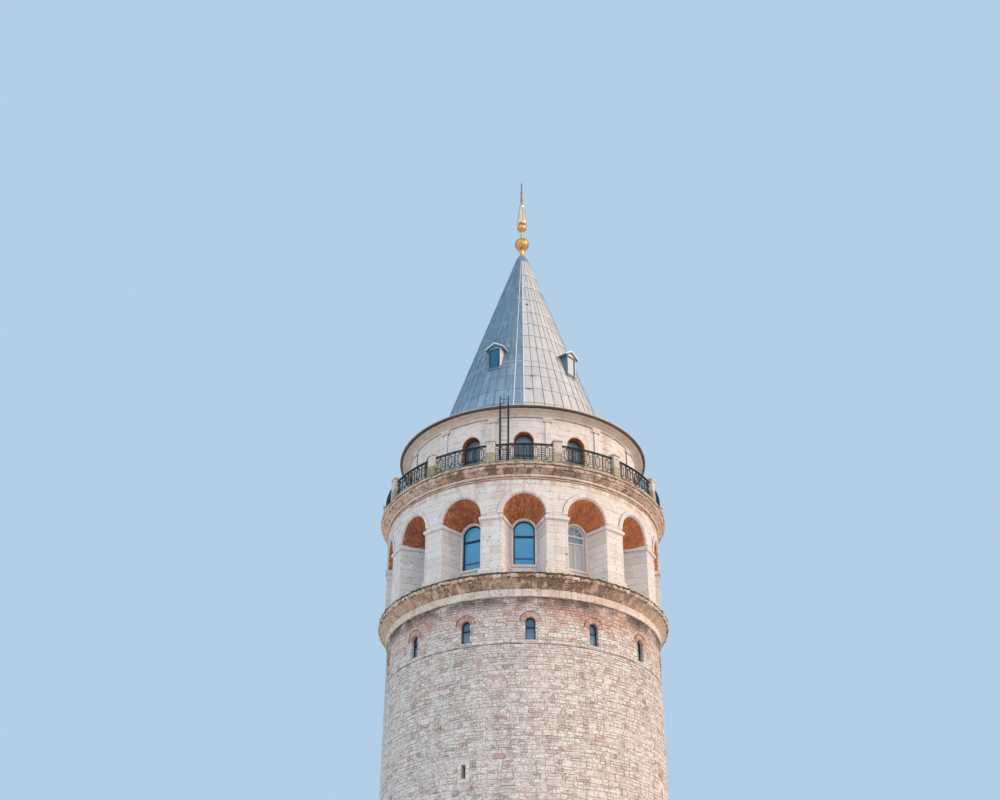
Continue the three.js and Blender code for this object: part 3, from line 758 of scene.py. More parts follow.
shaftStones = {
    "foot": 8.225, "radius": 8.0, "batterTop": 9.0, "halfway": 13.4, "top": 26.6, "seed": 11,
    "course": (0.16, 0.38), "width": 0.42, "spread": 0.75, "split": 0.22, "splitShare": 0.4, "joint": 0.02,
    "depth": 0.16, "proud": (0.012, 0.045), "lean": (0.01, 0.06), "chipping": 0.045, "grain": 6.0,
}
windowStoreyStones = {
    **shaftStones, "course": (0.12, 0.30), "width": 0.32, "line": (28.02, 28.09), "top": 30.68, "seed": 23,
}
slit = {
    "azimuth": -23.2, "count": 4, "sills": (11.4, 20.98), "half": 0.13, "height": 0.74, "frame": 0.22,
    "headStone": 0.24, "sillStone": 0.19, "jambStones": 3, "depth": 0.3, "proud": (0.04, 0.07),
}
door = {"half": 0.85, "head": 2.95, "surround": 0.34}
smallWindow = {
    "azimuth": 2.2, "half": 0.28, "sill": 28.27, "spring": 29.3, "ring": 0.27, "jamb": 0.12,
    "radius": shaftStones["radius"], "proud": 0.035, "depth": 0.3, "bricks": 17, "courses": 5,
    "sillStones": ((-0.34, 0.02), (0.03, 0.34)), "sillHeight": 0.11, "frame": (7.76, 7.84), "rim": 0.075,
    "transom": (28.99, 29.05),
}


def layRubble(name, low, high, radiusAt, openings, sizes, dice):
    points, scales, turns, tints = [], [], [], []
    level = low
    while level < high - 0.05:
        course = min(dice.uniform(*sizes["course"]), high - level)
        if high - level - course < sizes["course"][0] * 0.5:
            course = high - level
        radius = radiusAt(level + course / 2)
        turnOf = 180 / pi / radius
        for first, last in freeRuns(level, level + course, openings, dice.uniform(0, 20)):
            start, end = first / turnOf, last / turnOf
            for place, length in fillRun(start, end, sizes["width"], sizes["spread"], dice):
                azimuth = (place + length / 2) * turnOf
                isSplit = course > sizes["split"] and dice.random() < sizes["splitShare"]
                cut = dice.uniform(0.35, 0.65) if isSplit else 1
                for foot, share in ((0, cut), (cut, 1 - cut)) if isSplit else ((0, 1),):
                    tall = course * share
                    height = level + course * foot + tall / 2
                    spot = onRound(azimuth, radius + dice.uniform(*sizes["proud"]), height)
                    points.append([value * modelScale for value in spot])
                    gap = sizes["joint"] * dice.uniform(0.5, 1.6)
                    size = (
                        (length - gap) / 2, sizes["depth"] / 2, (tall - gap) / 2 * dice.uniform(0.88, 1.0),
                    )
                    scales += [side * modelScale for side in size]
                    turns += [dice.uniform(-lean, lean) for lean in sizes["lean"]] + [radians(azimuth)]
                    tints.append(dice.random())
        level += course
    mesh = bpy.data.meshes.new(name)
    mesh.from_pydata(points, [], [])
    mesh.attributes.new("size", "FLOAT_VECTOR", "POINT").data.foreach_set("vector", scales)
    mesh.attributes.new("turn", "FLOAT_VECTOR", "POINT").data.foreach_set("vector", turns)
    mesh.attributes.new("tint", "FLOAT", "POINT").data.foreach_set("value", tints)
    values = {"Stone": stoneShape, "Chipping": sizes["chipping"] * modelScale, "Grain": sizes["grain"]}
    settle(applyTree(addObject(name, mesh), stoneTree, values, "rubble", name), "rubble")
    print("stage:", name, len(points), "stones")


def shaftRadius(height):
    run = min(height / shaftStones["batterTop"], 1)
    return shaftStones["foot"] + (shaftStones["radius"] - shaftStones["foot"]) * run


def windowStoreyRadius(height):
    return smallWindow["radius"]


def shaftOpenings():
    openings = []
    for sill in slit["sills"]:
        halfTurn = degrees((slit["half"] + slit["frame"]) / shaftRadius(sill))
        for side in range(slit["count"]):
            openings.append((slit["azimuth"] + 90 * side, halfTurn, sill - 0.2, sill + slit["height"] + 0.25))
    halfTurn = degrees((door["half"] + door["surround"]) / shaftStones["foot"])
    return openings + [(0, halfTurn, 0, door["head"] + door["surround"] + 0.02)]


def windowStoreyOpenings():
    sill, spring, radius = (smallWindow[key] for key in ("sill", "spring", "radius"))
    reach = smallWindow["half"] + smallWindow["ring"]
    halfTurn = degrees(reach / radius)
    narrow = degrees((smallWindow["half"] + smallWindow["jamb"]) / radius)
    openings = []
    for bay in range(bayCount):
        azimuth = smallWindow["azimuth"] + bay * bayTurn
        openings.append((azimuth, narrow, sill - 0.12, spring))
        openings.append((azimuth, halfTurn, spring, spring + reach * 0.5))
        openings.append((azimuth, halfTurn * 0.72, spring + reach * 0.5, spring + reach))
    return openings


def paintNodes(finish, *starts):
    for name, node in nodes.items():
        if name.startswith(starts):
            node.data.materials.clear()
            node.data.materials.append(finishes[finish])


dice = random.Random(shaftStones["seed"])
halfway, shaftTop = shaftStones["halfway"], shaftStones["top"]
layRubble("shaft_stones_low", 0.02, halfway, shaftRadius, shaftOpenings(), shaftStones, dice)
layRubble("shaft_stones_high", halfway, shaftTop, shaftRadius, shaftOpenings(), shaftStones, dice)
dice = random.Random(windowStoreyStones["seed"])
lineFoot, lineTop = windowStoreyStones["line"]
for pieceName, low, high in (
    ("stones_below_line", shaftTop, lineFoot), ("stones_above_line", lineTop, windowStoreyStones["top"]),
):
    layRubble(pieceName, low, high, windowStoreyRadius, windowStoreyOpenings(), windowStoreyStones, dice)
paintNodes("mortar", "shaft_wall", "window_storey_wall")


# Bricks round an arch, and courses up both sides of an opening, with every other one wider or narrower.
def archBricks(mason, dice, count, gap, inner, outer, spring, near, face, proud, chamfer, ragged=0):
    for index in range(count):
        first, last = pi * index / count + gap, pi * (index + 1) / count - gap
        reach = outer + (dice.uniform(-ragged, ragged) if ragged else 0)
        corners = ((inner, first), (reach, first), (reach, last), (inner, last))
        outline = [(radius * cos(angle), spring + radius * sin(angle)) for radius, angle in corners]
        mason.block(outline, near, face + dice.uniform(*proud), chamfer, dice.random())


def jambStones(
    mason, dice, sides, heights, courses, gap, near, face, proud, chamfer,
    shades=(0, 1), stagger=0, place=inBay,
):
    foot, rise = heights[0], (heights[1] - heights[0]) / courses
    for side in (-1, 1):
        for course in range(courses):
            low = foot + course * rise + gap
            left, right = mirrored(side, sides[0], sides[1] - stagger * (course % 2))
            outline = rect(left, right, low, low + rise - 2 * gap)
            mason.block(outline, near, face + dice.uniform(*proud), chamfer, dice.uniform(*shades), place)


# Small arched windows of the storey under the cornice: brick heads, stone jambs, dark frames, panes.
def smallWindows():
    window = smallWindow
    dice = random.Random(5)
    half, sill, spring, radius = (window[key] for key in ("half", "sill", "spring", "radius"))
    outer, near, first = half + window["ring"], radius - window["depth"], window["azimuth"]
    bricks = Mason()
    face = radius + window["proud"]
    archBricks(
        bricks, dice, window["bricks"], 0.014, half - 0.01, outer, spring, near, face, (-0.012, 0.012), 0.012,
        ragged=0.015,
    )
    bricks.weather(0.01, 7)
    bricks.layRound("shaft_window_bricks", "paleBrick", "rubble", first=first)
    line = Mason()
    line.tube([inBay(x, radius + 0.03, z) for x, z in arc(outer + 0.03, spring, 0, pi, 18)], 0.024)
    line.layRound("shaft_window_lines", "line", "rubble", first=first)
    jambs = Mason()
    sides = (half - 0.01, half + window["jamb"] - 0.01)
    jambStones(
        jambs, dice, sides, (sill, spring), window["courses"], 0.006, near, radius, (0.01, 0.035), 0.01,
        shades=(0.0, 0.2),
    )
    for left, right in window["sillStones"]:
        outline = rect(left, right, sill - window["sillHeight"], sill)
        jambs.block(outline, near, radius + 0.03, 0.01, dice.uniform(0.05, 0.2))
    jambs.weather(0.016, 7)
    jambs.layRound("shaft_window_jambs", "rubble", "rubble", first=first)
    near, far = window["frame"]
    frames = Mason()
    frames.archFrame(half + 0.01, window["rim"], sill + 0.01, spring, near, far)
    frames.bar(0.01 - half, half - 0.01, *window["transom"], near + 0.01, far + 0.01)
    frames.layRound("shaft_window_frames", "darkFrame", "ironwork", first=first)
    panes = Mason()
    panes.slab(archPoints(half + 0.005, sill + 0.01, spring), near + 0.015, near + 0.03)
    panes.layRound("shaft_window_panes", "shaftGlass", "glass", first=first)


# Slits in the shaft: a dressed head, a sill and three stones down each side.
def slitStones():
    dice = random.Random(8)
    stones = Mason()
    half, side, proud = slit["half"], slit["half"] + slit["frame"], slit["proud"]
    for sill in slit["sills"]:
        radius, top = shaftRadius(sill), sill + slit["height"]
        near = radius - slit["depth"]
        for low, high in ((top, top + slit["headStone"]), (sill - slit["sillStone"], sill)):
            far = radius + dice.uniform(*proud)
            stones.block(rect(-side, side, low, high), near, far, 0.015, dice.random())
        jambStones(
            stones, dice, (half, side), (sill, top), slit["jambStones"], 0.008, near, radius, proud, 0.015,
            stagger=0.06,
        )
    stones.weather(0.012, 6)
    stones.layRound("slit_stones", "ashlar", "limestone", count=slit["count"], first=slit["azimuth"])


# The line between the shaft and the storey above: a thin dark course set back in its joint.
def stringLine():
    band = Mason()
    band.ring([
        (7.9, lineFoot + 0.005), (8.004, lineFoot + 0.01), (8.014, lineFoot + 0.035), (8.004, lineTop - 0.01),
        (7.9, lineTop - 0.005),
    ])
    band.weather(0.012, 5)
    band.lay("string_line", "line", "rubble")


smallWindows()
slitStones()
stringLine()
print("stage: shaft dressed")


# Cornices: a core ring, and strips of blocks laid end to end round it, each cut to its own moulding.
# The tint of a strip picks its stone: 0 pale, 0.5 tan, 0.8 rust, 1 mossy.
lowerMoulding = {
    "inner": 6.4, "foot": 30.7, "top": 32.0, "seed": 31,
    "strips": [
        {
            "profile": [(8.08, 30.715), (8.13, 30.73), (8.135, 31.14), (8.11, 31.165)],
            "perBay": 4, "tint": (0.0, 0.12), "rough": 0.01,
        },
        {
            "profile": [
                (8.12, 31.18), (8.16, 31.25), (8.25, 31.38), (8.36, 31.5), (8.45, 31.58), (8.5, 31.64),
            ],
            "perBay": 5, "tint": (0.36, 0.48), "rough": 0.03,
        },
        {
            "profile": [(8.56, 31.66), (8.63, 31.69), (8.65, 31.76), (8.64, 31.82)],
            "perBay": 9, "tint": (0.14, 0.4), "rough": 0.05,
        },
        {
            "profile": [(8.6, 31.83), (8.635, 31.86), (8.62, 31.94), (8.52, 31.99)],
            "perBay": 8, "tint": (0.88, 1.0), "rough": 0.06,
        },
    ],
}
deckMoulding = {
    "inner": 7.9, "foot": 37.96, "top": 38.72, "seed": 37,
    "strips": [
        {
            "profile": [(8.26, 37.79), (8.305, 37.81), (8.32, 37.85), (8.305, 37.89), (8.26, 37.9)],
            "perBay": 3, "tint": (0.76, 0.84), "rough": 0.012, "back": 8.2,
        },
        {
            "profile": [(8.34, 37.985), (8.37, 38.0), (8.375, 38.12), (8.35, 38.14)],
            "perBay": 4, "tint": (0.0, 0.25), "rough": 0.012,
        },
        {
            "profile": [(8.38, 38.155), (8.42, 38.18), (8.5, 38.25), (8.585, 38.31), (8.6, 38.36)],
            "perBay": 6, "tint": (0.3, 0.45), "rough": 0.035,
        },
        {
            "profile": [(8.62, 38.385), (8.68, 38.41), (8.72, 38.46), (8.72, 38.54)],
            "perBay": 7, "tint": (0.22, 0.42), "rough": 0.035,
        },
        {
            "profile": [(8.75, 38.6), (8.81, 38.62), (8.825, 38.66), (8.8, 38.715)],
            "perBay": 5, "tint": (0.0, 0.2), "rough": 0.02,
        },
    ],
}


def mouldedRing(name, moulding, finish, node):
    dice = random.Random(moulding["seed"])
    mason = Mason()
    core = [(moulding["inner"], moulding["foot"] + 0.002)]
    for strip in moulding["strips"]:
        if "back" not in strip:
            core += [(radius - 0.045, height) for radius, height in strip["profile"]]
    mason.ring(core + [(moulding["inner"], moulding["top"] - 0.005)], 112, 0.95)
    for strip in moulding["strips"]:
        count, profile, rough = strip["perBay"] * bayCount, strip["profile"], strip["rough"]
        back = strip.get("back", profile[0][0] - 0.3)
        first = dice.uniform(0, 5)
        edges = [360 * (index + dice.uniform(-0.22, 0.22)) / count + first for index in range(count)]
        laid = Mason()
        for start, end in zip(edges, edges[1:] + [edges[0] + 360]):
            shift = dice.uniform(-0.6, 0.0) * rough
            slump = dice.uniform(-0.2, 0.2) * rough
            rings = []
            for share in (0.0, 0.1, 0.3, 0.5, 0.7, 0.9, 1.0):
                inset = 0.02 if share in (0.0, 1.0) else 0.0
                section = [(radius + shift - inset, height) for radius, height in profile]
                section += [(back, profile[-1][1]), (back, profile[0][1])]
                azimuth = start + 0.06 + (end - start - 0.12) * share
                rings.append([onRound(azimuth, radius, height + slump) for radius, height in section])
            laid.loft(rings, dice.uniform(*strip["tint"]))
        laid.weather(rough, 4.5)
        laid.weather(rough * 0.9, 12)
        mason.takeOver(laid)
    mason.lay(name, finish, "cornice_stone", (node,))


mouldedRing("lower_cornice_blocks", lowerMoulding, "lowerCornice", "lower_cornice")
mouldedRing("deck_cornice_blocks", deckMoulding, "deckCornice", "deck_cornice")
print("stage: cornices laid")

# Arcade: splayed niches, their size given by the distance from the axis.
arcade = {
    "radius": 8.25, "foot": 32.0, "top": 37.96, "courses": 14, "proud": 0.03, "seed": 41,
    "back": 6.78, "floor": 32.1, "backHalf": 0.72, "backSpring": 35.38, "splay": 0.381, "rise": 0.2517,
    "ringOuter": 1.52, "ringBack": 8.2, "ringStones": 21, "imposts": (35.38, 35.56),
    "vaultRows": 8, "vaultCourses": 40, "windowHalf": 0.62, "windowSill": 33.1, "windowSpring": 35.34,
    "liningCourses": 9, "parapetHalf": 0.7, "parapetCourses": 2, "pierFoot": (31.99, 32.3, 32.38, 32.4),
}
drumWall = {
    "radius": 7.15, "foot": 38.72, "top": 42.76, "courses": 10, "proud": 0.02, "seed": 43,
    "half": 0.56, "rim": 0.03, "sill": 39.55, "spring": 41.02, "bricks": 23, "jambCourses": 15,
    "bricksBack": 6.68, "sillHalf": 0.62, "sillStone": (39.45, 39.56), "sillFace": 7.2,
}


def nicheHalf(distance):
    return arcade["backHalf"] + arcade["splay"] * (distance - arcade["back"])


def nicheSpring(distance):
    return arcade["backSpring"] + arcade["rise"] * (distance - arcade["back"])


# Where the niche's edge meets a round face: across and distance, at an angle round the arch.
def nicheEdge(radius, angle, outset=0.0):
    distance = radius
    for _ in range(4):
        across = (nicheHalf(distance) + outset) * cos(angle)
        distance = sqrt(radius * radius - across * across)
    return across, distance


# Free half width of the wall between two openings, at a height.
def arcadeLimit(height):
    radius, outer = arcade["radius"], arcade["ringOuter"]
    halfBay = pi * radius / bayCount
    across, distance = nicheEdge(radius, 0)
    over = height - nicheSpring(distance)
    if over <= 0:
        return halfBay - atan2(across - 0.012, distance) * radius
    return halfBay if over >= outer else halfBay - sqrt(outer ** 2 - over ** 2)


def drumLimit(height):
    halfBay = pi * drumWall["radius"] / bayCount
    outer = drumWall["half"] + drumWall["rim"]
    over = height - drumWall["spring"]
    if height < drumWall["sill"] - 0.05 or over >= outer:
        return halfBay
    return halfBay - (outer if over <= 0 else sqrt(outer ** 2 - over ** 2))


def courseStones(name, finish, wall, limitAt, width, chamfer):
    joint = 0.003  # half the gap between two stones
    dice = random.Random(wall["seed"])
    mason = Mason()
    radius = wall["radius"]
    halfBay = pi * radius / bayCount
    height = (wall["top"] - wall["foot"]) / wall["courses"]
    for course in range(wall["courses"]):
        low = wall["foot"] + course * height
        levels = [low + joint, low + height / 2, low + height - joint]
        limits = [limitAt(level) for level in levels]
        isFull = min(limits) >= halfBay - 0.001
        slide = dice.uniform(-0.4, 0.4) if isFull else 0
        reach = halfBay if isFull else min(limits)
        for bay in range(bayCount):
            runs = fillRun(-reach, reach, width, 0.3, dice)
            for index, (start, length) in enumerate(runs):
                left, right = [start + joint + slide] * 3, [start + length - joint + slide] * 3
                if not isFull and index == 0:
                    left = [-limit for limit in limits]
                if not isFull and index == len(runs) - 1:
                    right = limits
                outline = list(zip(left, levels))[::-1] + list(zip(right, levels))
                face = radius + wall["proud"] + dice.uniform(-0.006, 0.008)
                mason.block(
                    outline, radius - 0.12, face, chamfer, dice.random(),
                    lambda x, depth, z: onRound((bay + 0.5) * bayTurn + degrees(x / radius), depth, z),
                )
    mason.lay(name, finish, "limestone")


# Stone ring of each arch: it follows the splay a little way in.
def archRings():
    dice = random.Random(47)
    mason = Mason()
    outer, count = arcade["ringOuter"], arcade["ringStones"]
    for index in range(count):
        first, last = pi * index / count + 0.004, pi * (index + 1) / count - 0.004
        proud = arcade["radius"] + 0.075 + dice.uniform(-0.006, 0.008)
        rings = []
        for distance, outset, reach in (
            (arcade["ringBack"], -0.03, outer - 0.1), (proud - 0.015, -0.03, outer),
            (proud, -0.012, outer - 0.015),
        ):
            inner, rim = [], []
            for share in (0.0, 0.5, 1.0):
                angle = first + (last - first) * share
                across, depth = nicheEdge(distance, angle, outset)
                spring, wide = nicheSpring(depth), reach * cos(angle)
                inner.append((across, -depth, spring + (nicheHalf(depth) + outset) * sin(angle)))
                rim.append((wide, -sqrt(distance ** 2 - wide ** 2), spring + reach * sin(angle)))
            rings.append(inner + rim[::-1])
        mason.loft(rings, dice.random())
    mason.layRound("arch_rings", "ashlar", "limestone")
    # Painted shadow: a thin dark line along the ring's outer edge on its left side, where the ring casts its
    # shadow.
    joint = Mason()
    path = arc(outer + 0.012, nicheSpring(arcade["radius"]), radians(100), radians(176), 14)
    joint.tube([inBay(x, arcade["radius"] + 0.032, z) for x, z in path], 0.014)
    joint.layRound("ring_joints", "line", "limestone")


# Brick vault over each niche, in rows from the stone ring to the window wall.
def vaultBricks():
    dice = random.Random(53)
    mason = Mason()
    rows, back = arcade["vaultRows"], arcade["back"]
    step = pi / arcade["vaultCourses"]
    for row in range(rows):
        for course in range(arcade["vaultCourses"]):
            first, last = course * step + 0.003, (course + 1) * step - 0.003
            depth = (nicheEdge(arcade["ringBack"], (first + last) / 2, -0.03)[1] - back) / rows
            raised = dice.uniform(0.03, 0.055)
            rings = []
            for distance in (back + row * depth + 0.006, back + (row + 1) * depth - 0.006):
                half, spring = nicheHalf(distance), nicheSpring(distance)
                outer, inner = half + 0.05, half - raised
                corners = ((outer, first), (inner, first), (inner, last), (outer, last))
                rings.append([
                    (reach * cos(angle), -distance, spring + reach * sin(angle)) for reach, angle in corners
                ])
            mason.loft(rings, dice.random())
    mason.layRound("vault_bricks", "brick", "limestone")


# Stones lining the splayed sides of each niche, and the low wall under its window.
def nicheStones():
    dice = random.Random(59)
    mason = Mason()
    foot, back, floor, sill = (arcade[key] for key in ("foot", "back", "floor", "windowSill"))
    _, corner = nicheEdge(arcade["radius"] + 0.03, 0)
    height = (arcade["top"] - foot) / arcade["courses"]
    for side in (-1, 1):
        for course in range(arcade["liningCourses"]):
            low = max(foot + course * height, floor) + 0.005
            high = min(foot + (course + 1) * height, arcade["backSpring"] + 0.3) - 0.005
            cut = back + (corner - back) * dice.uniform(0.3, 0.65)
            for near, far in ((back, cut - 0.005), (cut + 0.005, corner)):
                raised = 0.028 + dice.uniform(-0.004, 0.006)
                rings = []
                for level, inset in ((low, 0.01), (low + 0.01, 0), (high - 0.01, 0), (high, 0.01)):
                    ends = ((near, 0.08), (near, inset - raised), (far, inset - raised), (far, 0.08))
                    rings.append([(side * (nicheHalf(end) + outset), -end, level) for end, outset in ends])
                mason.loft(rings, dice.random())
    wide, courses = arcade["parapetHalf"], arcade["parapetCourses"]
    rise = (sill - 0.07 - floor) / courses
    for course in range(courses):
        low = floor + rise * course
        for start, length in fillRun(-wide, wide, 0.6, 0.3, dice):
            outline = rect(start, start + length - 0.01, low, low + rise - 0.01)
            mason.block(outline, back - 0.1, back + 0.03, 0.01, dice.random(), inPlane, 0.012)
    mason.block(rect(-wide, wide, sill - 0.07, sill), back - 0.14, back + 0.1, 0.01, 0.4, inPlane)
    half = arcade["windowHalf"] + 0.1
    mason.archFrame(half, 0.11, sill - 0.02, arcade["windowSpring"], back - 0.08, back + 0.05, 16, 0.3)
    mason.layRound("niche_stones", "ashlar", "limestone")


# A moulding carried round each pier, from one niche to the next.
def offsetPath(path, distance):
    moved = []
    for index, (x, y) in enumerate(path):
        normals = []
        for first, last in ((index - 1, index), (index, index + 1)):
            if first >= 0 and last < len(path):
                dx, dy = path[last][0] - path[first][0], path[last][1] - path[first][1]
                normals.append((dy / hypot(dx, dy), -dx / hypot(dx, dy)))
        nx, ny = (sum(values) / len(normals) for values in zip(*normals))
        size = nx * nx + ny * ny
        moved.append((x + nx / size * distance, y + ny / size * distance))
    return moved


def pierPath():
    face = arcade["radius"] + 0.03
    across, corner = nicheEdge(face, 0, -0.03)
    ends = ((nicheHalf(arcade["back"]) - 0.03, -arcade["back"], 0), (across, -corner, 0))
    back, front = (turned(point, -bayTurn / 2)[:2] for point in ends)
    lean = degrees(atan2(front[0], -front[1]))
    along = [onRound(lean - 2 * lean * step / 5, face, 0)[:2] for step in range(6)]
    return [back, *along, (-back[0], back[1])]


def carried(mason, profile, tint):
    path = pierPath()
    runs = [offsetPath(path, out) for out, _ in profile]
    rings = [[(*run[index], height) for run, (_, height) in zip(runs, profile)] for index in range(len(path))]
    mason.loft(rings, tint)


def imposts():
    low, high = arcade["imposts"]
    mason = Mason()
    # The strip under each impost takes the darkest stone tint, as a painted shadow line under the impost.
    carried(mason, [(-0.06, low - 0.04), (0.05, low - 0.04), (0.055, low), (-0.06, low)], 1.0)
    carried(mason, [
        (-0.06, low + 0.005), (0.085, low + 0.005), (0.1, low + 0.03), (0.1, high - 0.02), (0.085, high),
        (-0.06, high),
    ], 0.5)
    mason.layRound("imposts", "ashlar", "limestone", first=bayTurn / 2)
    mason = Mason()
    foot, edge, slope, top = arcade["pierFoot"]
    carried(mason, [(-0.06, foot), (0.09, foot), (0.1, edge), (0.07, slope), (-0.06, top)], 0.9)
    mason.weather(0.03, 4)
    mason.layRound("pier_feet", "ashlar", "limestone", first=bayTurn / 2)


courseStones("arcade_stones", "ashlar", arcade, arcadeLimit, 0.78, 0.005)
courseStones("drum_stones", "drumStone", drumWall, drumLimit, 0.85, 0.004)
paintNodes("render", "arcade_wall", "drum_wall")
paintNodes("floor", "ground_floor", "window_storey_floor", "arcade_floor", "deck_slab", "roof_slab")
archRings()
vaultBricks()
nicheStones()
imposts()
print("stage: arcade laid")


# Arched windows behind the arcade and in the drum: frames with their bars, and panes.
arcadeWindow = {
    "half": arcade["windowHalf"], "sill": arcade["windowSill"], "spring": arcade["windowSpring"],
    "near": 6.58, "rim": 0.085, "transoms": ((34.98, 0.06), (33.62, 0.012)), "mullion": None, "rays": (),
}
paleWindow = {
    **arcadeWindow, "rim": 0.09, "transoms": ((35.3, 0.06), (34.86, 0.05)), "mullion": (33.1, 34.86, 0.04),
    "rays": (45, 90, 135),
}
drumWindow = {
    "half": drumWall["half"], "sill": drumWall["sill"], "spring": drumWall["spring"], "near": 6.72,
    "rim": 0.06, "transoms": ((41.0, 0.035), (40.2, 0.012)), "mullion": (39.55, 41.0, 0.025), "rays": (),
}
deckDoor = {**drumWindow, "sill": 38.78, "mullion": (38.8, 41.0, 0.03)}


def archedWindows(name, window, finish, glassFinish, node, firstBay, count):
    frames, panes = Mason(), Mason()
    half, sill, spring, near = (window[key] for key in ("half", "sill", "spring", "near"))
    far = near + 0.08
    frames.archFrame(half, window["rim"], sill, spring, near, far)
    for level, thick in window["transoms"]:
        frames.bar(0.01 - half, half - 0.01, level - thick, level + thick, near + 0.01, far + 0.01)
    if window["mullion"]:
        low, high, thick = window["mullion"]
        frames.bar(-thick, thick, low + 0.02, high, near + 0.01, far)
    for angle in window["rays"]:
        x, z = cos(radians(angle)), sin(radians(angle))
        frames.tube([(x * reach, -near - 0.05, spring + z * reach) for reach in (0, half - 0.04)], 0.026)
    panes.slab(archPoints(half - 0.01, sill + 0.01, spring), near + 0.02, near + 0.035)
    around = {"count": count, "first": firstBay * bayTurn, "step": bayTurn}
    frames.layRound(name + "_frames", finish, "ironwork", **around)
    panes.layRound(name + "_panes", glassFinish, "glass", (node,), **around)


archedWindows("arcade", arcadeWindow, "darkFrame", "glass", "arcade_glass", 2, 13)
archedWindows("arcade_pale", paleWindow, "paleFrame", "paleGlass", "arcade_glass", 1, 1)
archedWindows("drum", drumWindow, "darkFrame", "drumGlass", "drum_glass", 8, 13)
archedWindows("drum_door", deckDoor, "darkFrame", "drumGlass", "drum_glass", 7, 1)


# Drum: brick linings in the windows, thin pilasters in courses, and their caps and feet.
pilaster = {
    "turn": -1.6, "half": 0.13, "near": 7.0, "face": 7.24, "courses": 9, "top": 42.3,
    "blocks": (
        (0.17, 42.3, 42.35, 7.27), (0.23, 42.36, 42.43, 7.3), (0.29, 42.44, 42.55, 7.34),
        (0.17, 38.72, 38.98, 7.28),
    ),
}


def drumDressings():
    dice = random.Random(61)
    bricks = Mason()
    half, outer = drumWall["half"] - 0.02, drumWall["half"] + drumWall["rim"]
    spring, near, proud = drumWall["spring"], drumWall["bricksBack"], (-0.008, 0.004)
    face = drumWall["radius"] + 0.03
    archBricks(bricks, dice, drumWall["bricks"], 0.006, half, outer, spring, near, face, proud, 0.008)
    heights = (drumWall["sill"], spring)
    jambStones(bricks, dice, (half, outer), heights, drumWall["jambCourses"], 0.004, near, face, proud, 0.008)
    bricks.layRound("drum_window_bricks", "brick", "limestone")
    sills = Mason()
    wide = drumWall["sillHalf"]
    sills.block(rect(-wide, wide, *drumWall["sillStone"]), near, drumWall["sillFace"], 0.015, 0.4)
    around = {"count": bayCount - 1, "first": 8 * bayTurn, "step": bayTurn}
    sills.layRound("drum_sills", "drumStone", "limestone", **around)
    pilasters = Mason()
    wide, near, foot = pilaster["half"], pilaster["near"], drumWall["foot"]
    height = (pilaster["top"] - foot) / pilaster["courses"]
    for course in range(pilaster["courses"]):
        low = foot + course * height
        face = pilaster["face"] + dice.uniform(-0.004, 0.004)
        outline = rect(-wide, wide, low + 0.004, low + height - 0.004)
        pilasters.block(outline, near, face, 0.008, dice.random())
    for half, low, high, out in pilaster["blocks"]:
        pilasters.block(rect(-half, half, low, high), near, out, 0.012, 0.5)
    pilasters.layRound("pilasters", "drumStone", "limestone", first=bayTurn / 2 + pilaster["turn"])


drumDressings()
print("stage: drum laid")


# Balustrade: kerb stones, posts of two rough blocks under a cap, and ornamental iron panels.
balustrade = {
    "radius": 8.52, "kerb": (8.3, 8.74), "foot": 38.72, "kerbTop": 38.86, "postHalf": 0.27,
    "post": (8.34, 8.74), "joint": 39.42, "postTop": 40.14, "capTop": 40.26, "railTop": 40.02,
    "railFoot": 38.92, "panels": 5,
    "bar": 0.024, "oval": (0.19, 0.46), "scroll": (0.36, 0.27, 0.135, 1.25),
}


def roughBlock(mason, low, high, rows, tint):
    corners = rect(low[0], high[0], low[1], high[1])
    middleX, middleY = (low[0] + high[0]) / 2, (low[1] + high[1]) / 2
    outline = []
    for (ax, ay), (bx, by) in zip(corners, corners[1:] + corners[:1]):
        outline += [(ax + (bx - ax) * share, ay + (by - ay) * share) for share in (0.06, 0.35, 0.65, 0.94)]
    rings = []
    for row in range(rows + 1):
        keep = 0.94 if row in (0, rows) else 1.0
        height = low[2] + (high[2] - low[2]) * row / rows
        rings.append([
            (middleX + (x - middleX) * keep, middleY + (y - middleY) * keep, height) for x, y in outline
        ])
    mason.loft(rings, tint)


def balustradeStones():
    dice = random.Random(67)
    mason = Mason()
    setup = balustrade
    foot, joint, postTop, half = (setup[key] for key in ("foot", "joint", "postTop", "postHalf"))
    near, far = setup["post"]
    for bay in range(bayCount):
        one = Mason()
        for low, high, wide, inner, outer, tint in (
            (foot + 0.005, joint - 0.012, half, near, far, dice.uniform(0.62, 0.95)),
            (joint + 0.012, postTop - 0.005, half - 0.02, near + 0.01, far - 0.01, dice.uniform(0, 0.3)),
            (postTop + 0.005, setup["capTop"], half + 0.045, near - 0.04, far + 0.045, dice.uniform(0, 0.3)),
        ):
            wide += dice.uniform(-0.02, 0.005)
            roughBlock(one, (-wide, -outer, low), (wide, -inner, high), 2 if high - low < 0.3 else 5, tint)
        mason.takeOver(one, (bay + 0.5) * bayTurn)
    (inner, outer), top = setup["kerb"], setup["kerbTop"]
    corners = [
        (inner, foot), (outer - 0.01, foot), (outer, top - 0.03), (outer - 0.03, top), (inner + 0.03, top),
        (inner, top - 0.03),
    ]
    # The kerb stones take the darkest tints: moss, and painted shade under the rail.
    for start, length in fillRun(0, 360, 7, 0.3, dice):
        places = [start + length * share for share in (0.02, 0.5, 0.98)]
        rings = [[onRound(place, *corner) for corner in corners] for place in places]
        mason.loft(rings, dice.uniform(0.88, 1.0))
    mason.weather(0.03, 5.5)
    mason.lay("balustrade_stones", "post", "limestone", ("balustrade_posts_left", "balustrade_posts_right"))


def spiral(centre, start, size, turns, hand):
    points, steps = [], 11
    for share in (step / steps for step in range(steps + 1)):
        angle = start + hand * turns * 2 * pi * share
        reach = size * (1 - 0.72 * share)
        points.append((centre[0] + reach * cos(angle), centre[1] + reach * sin(angle)))
    return points


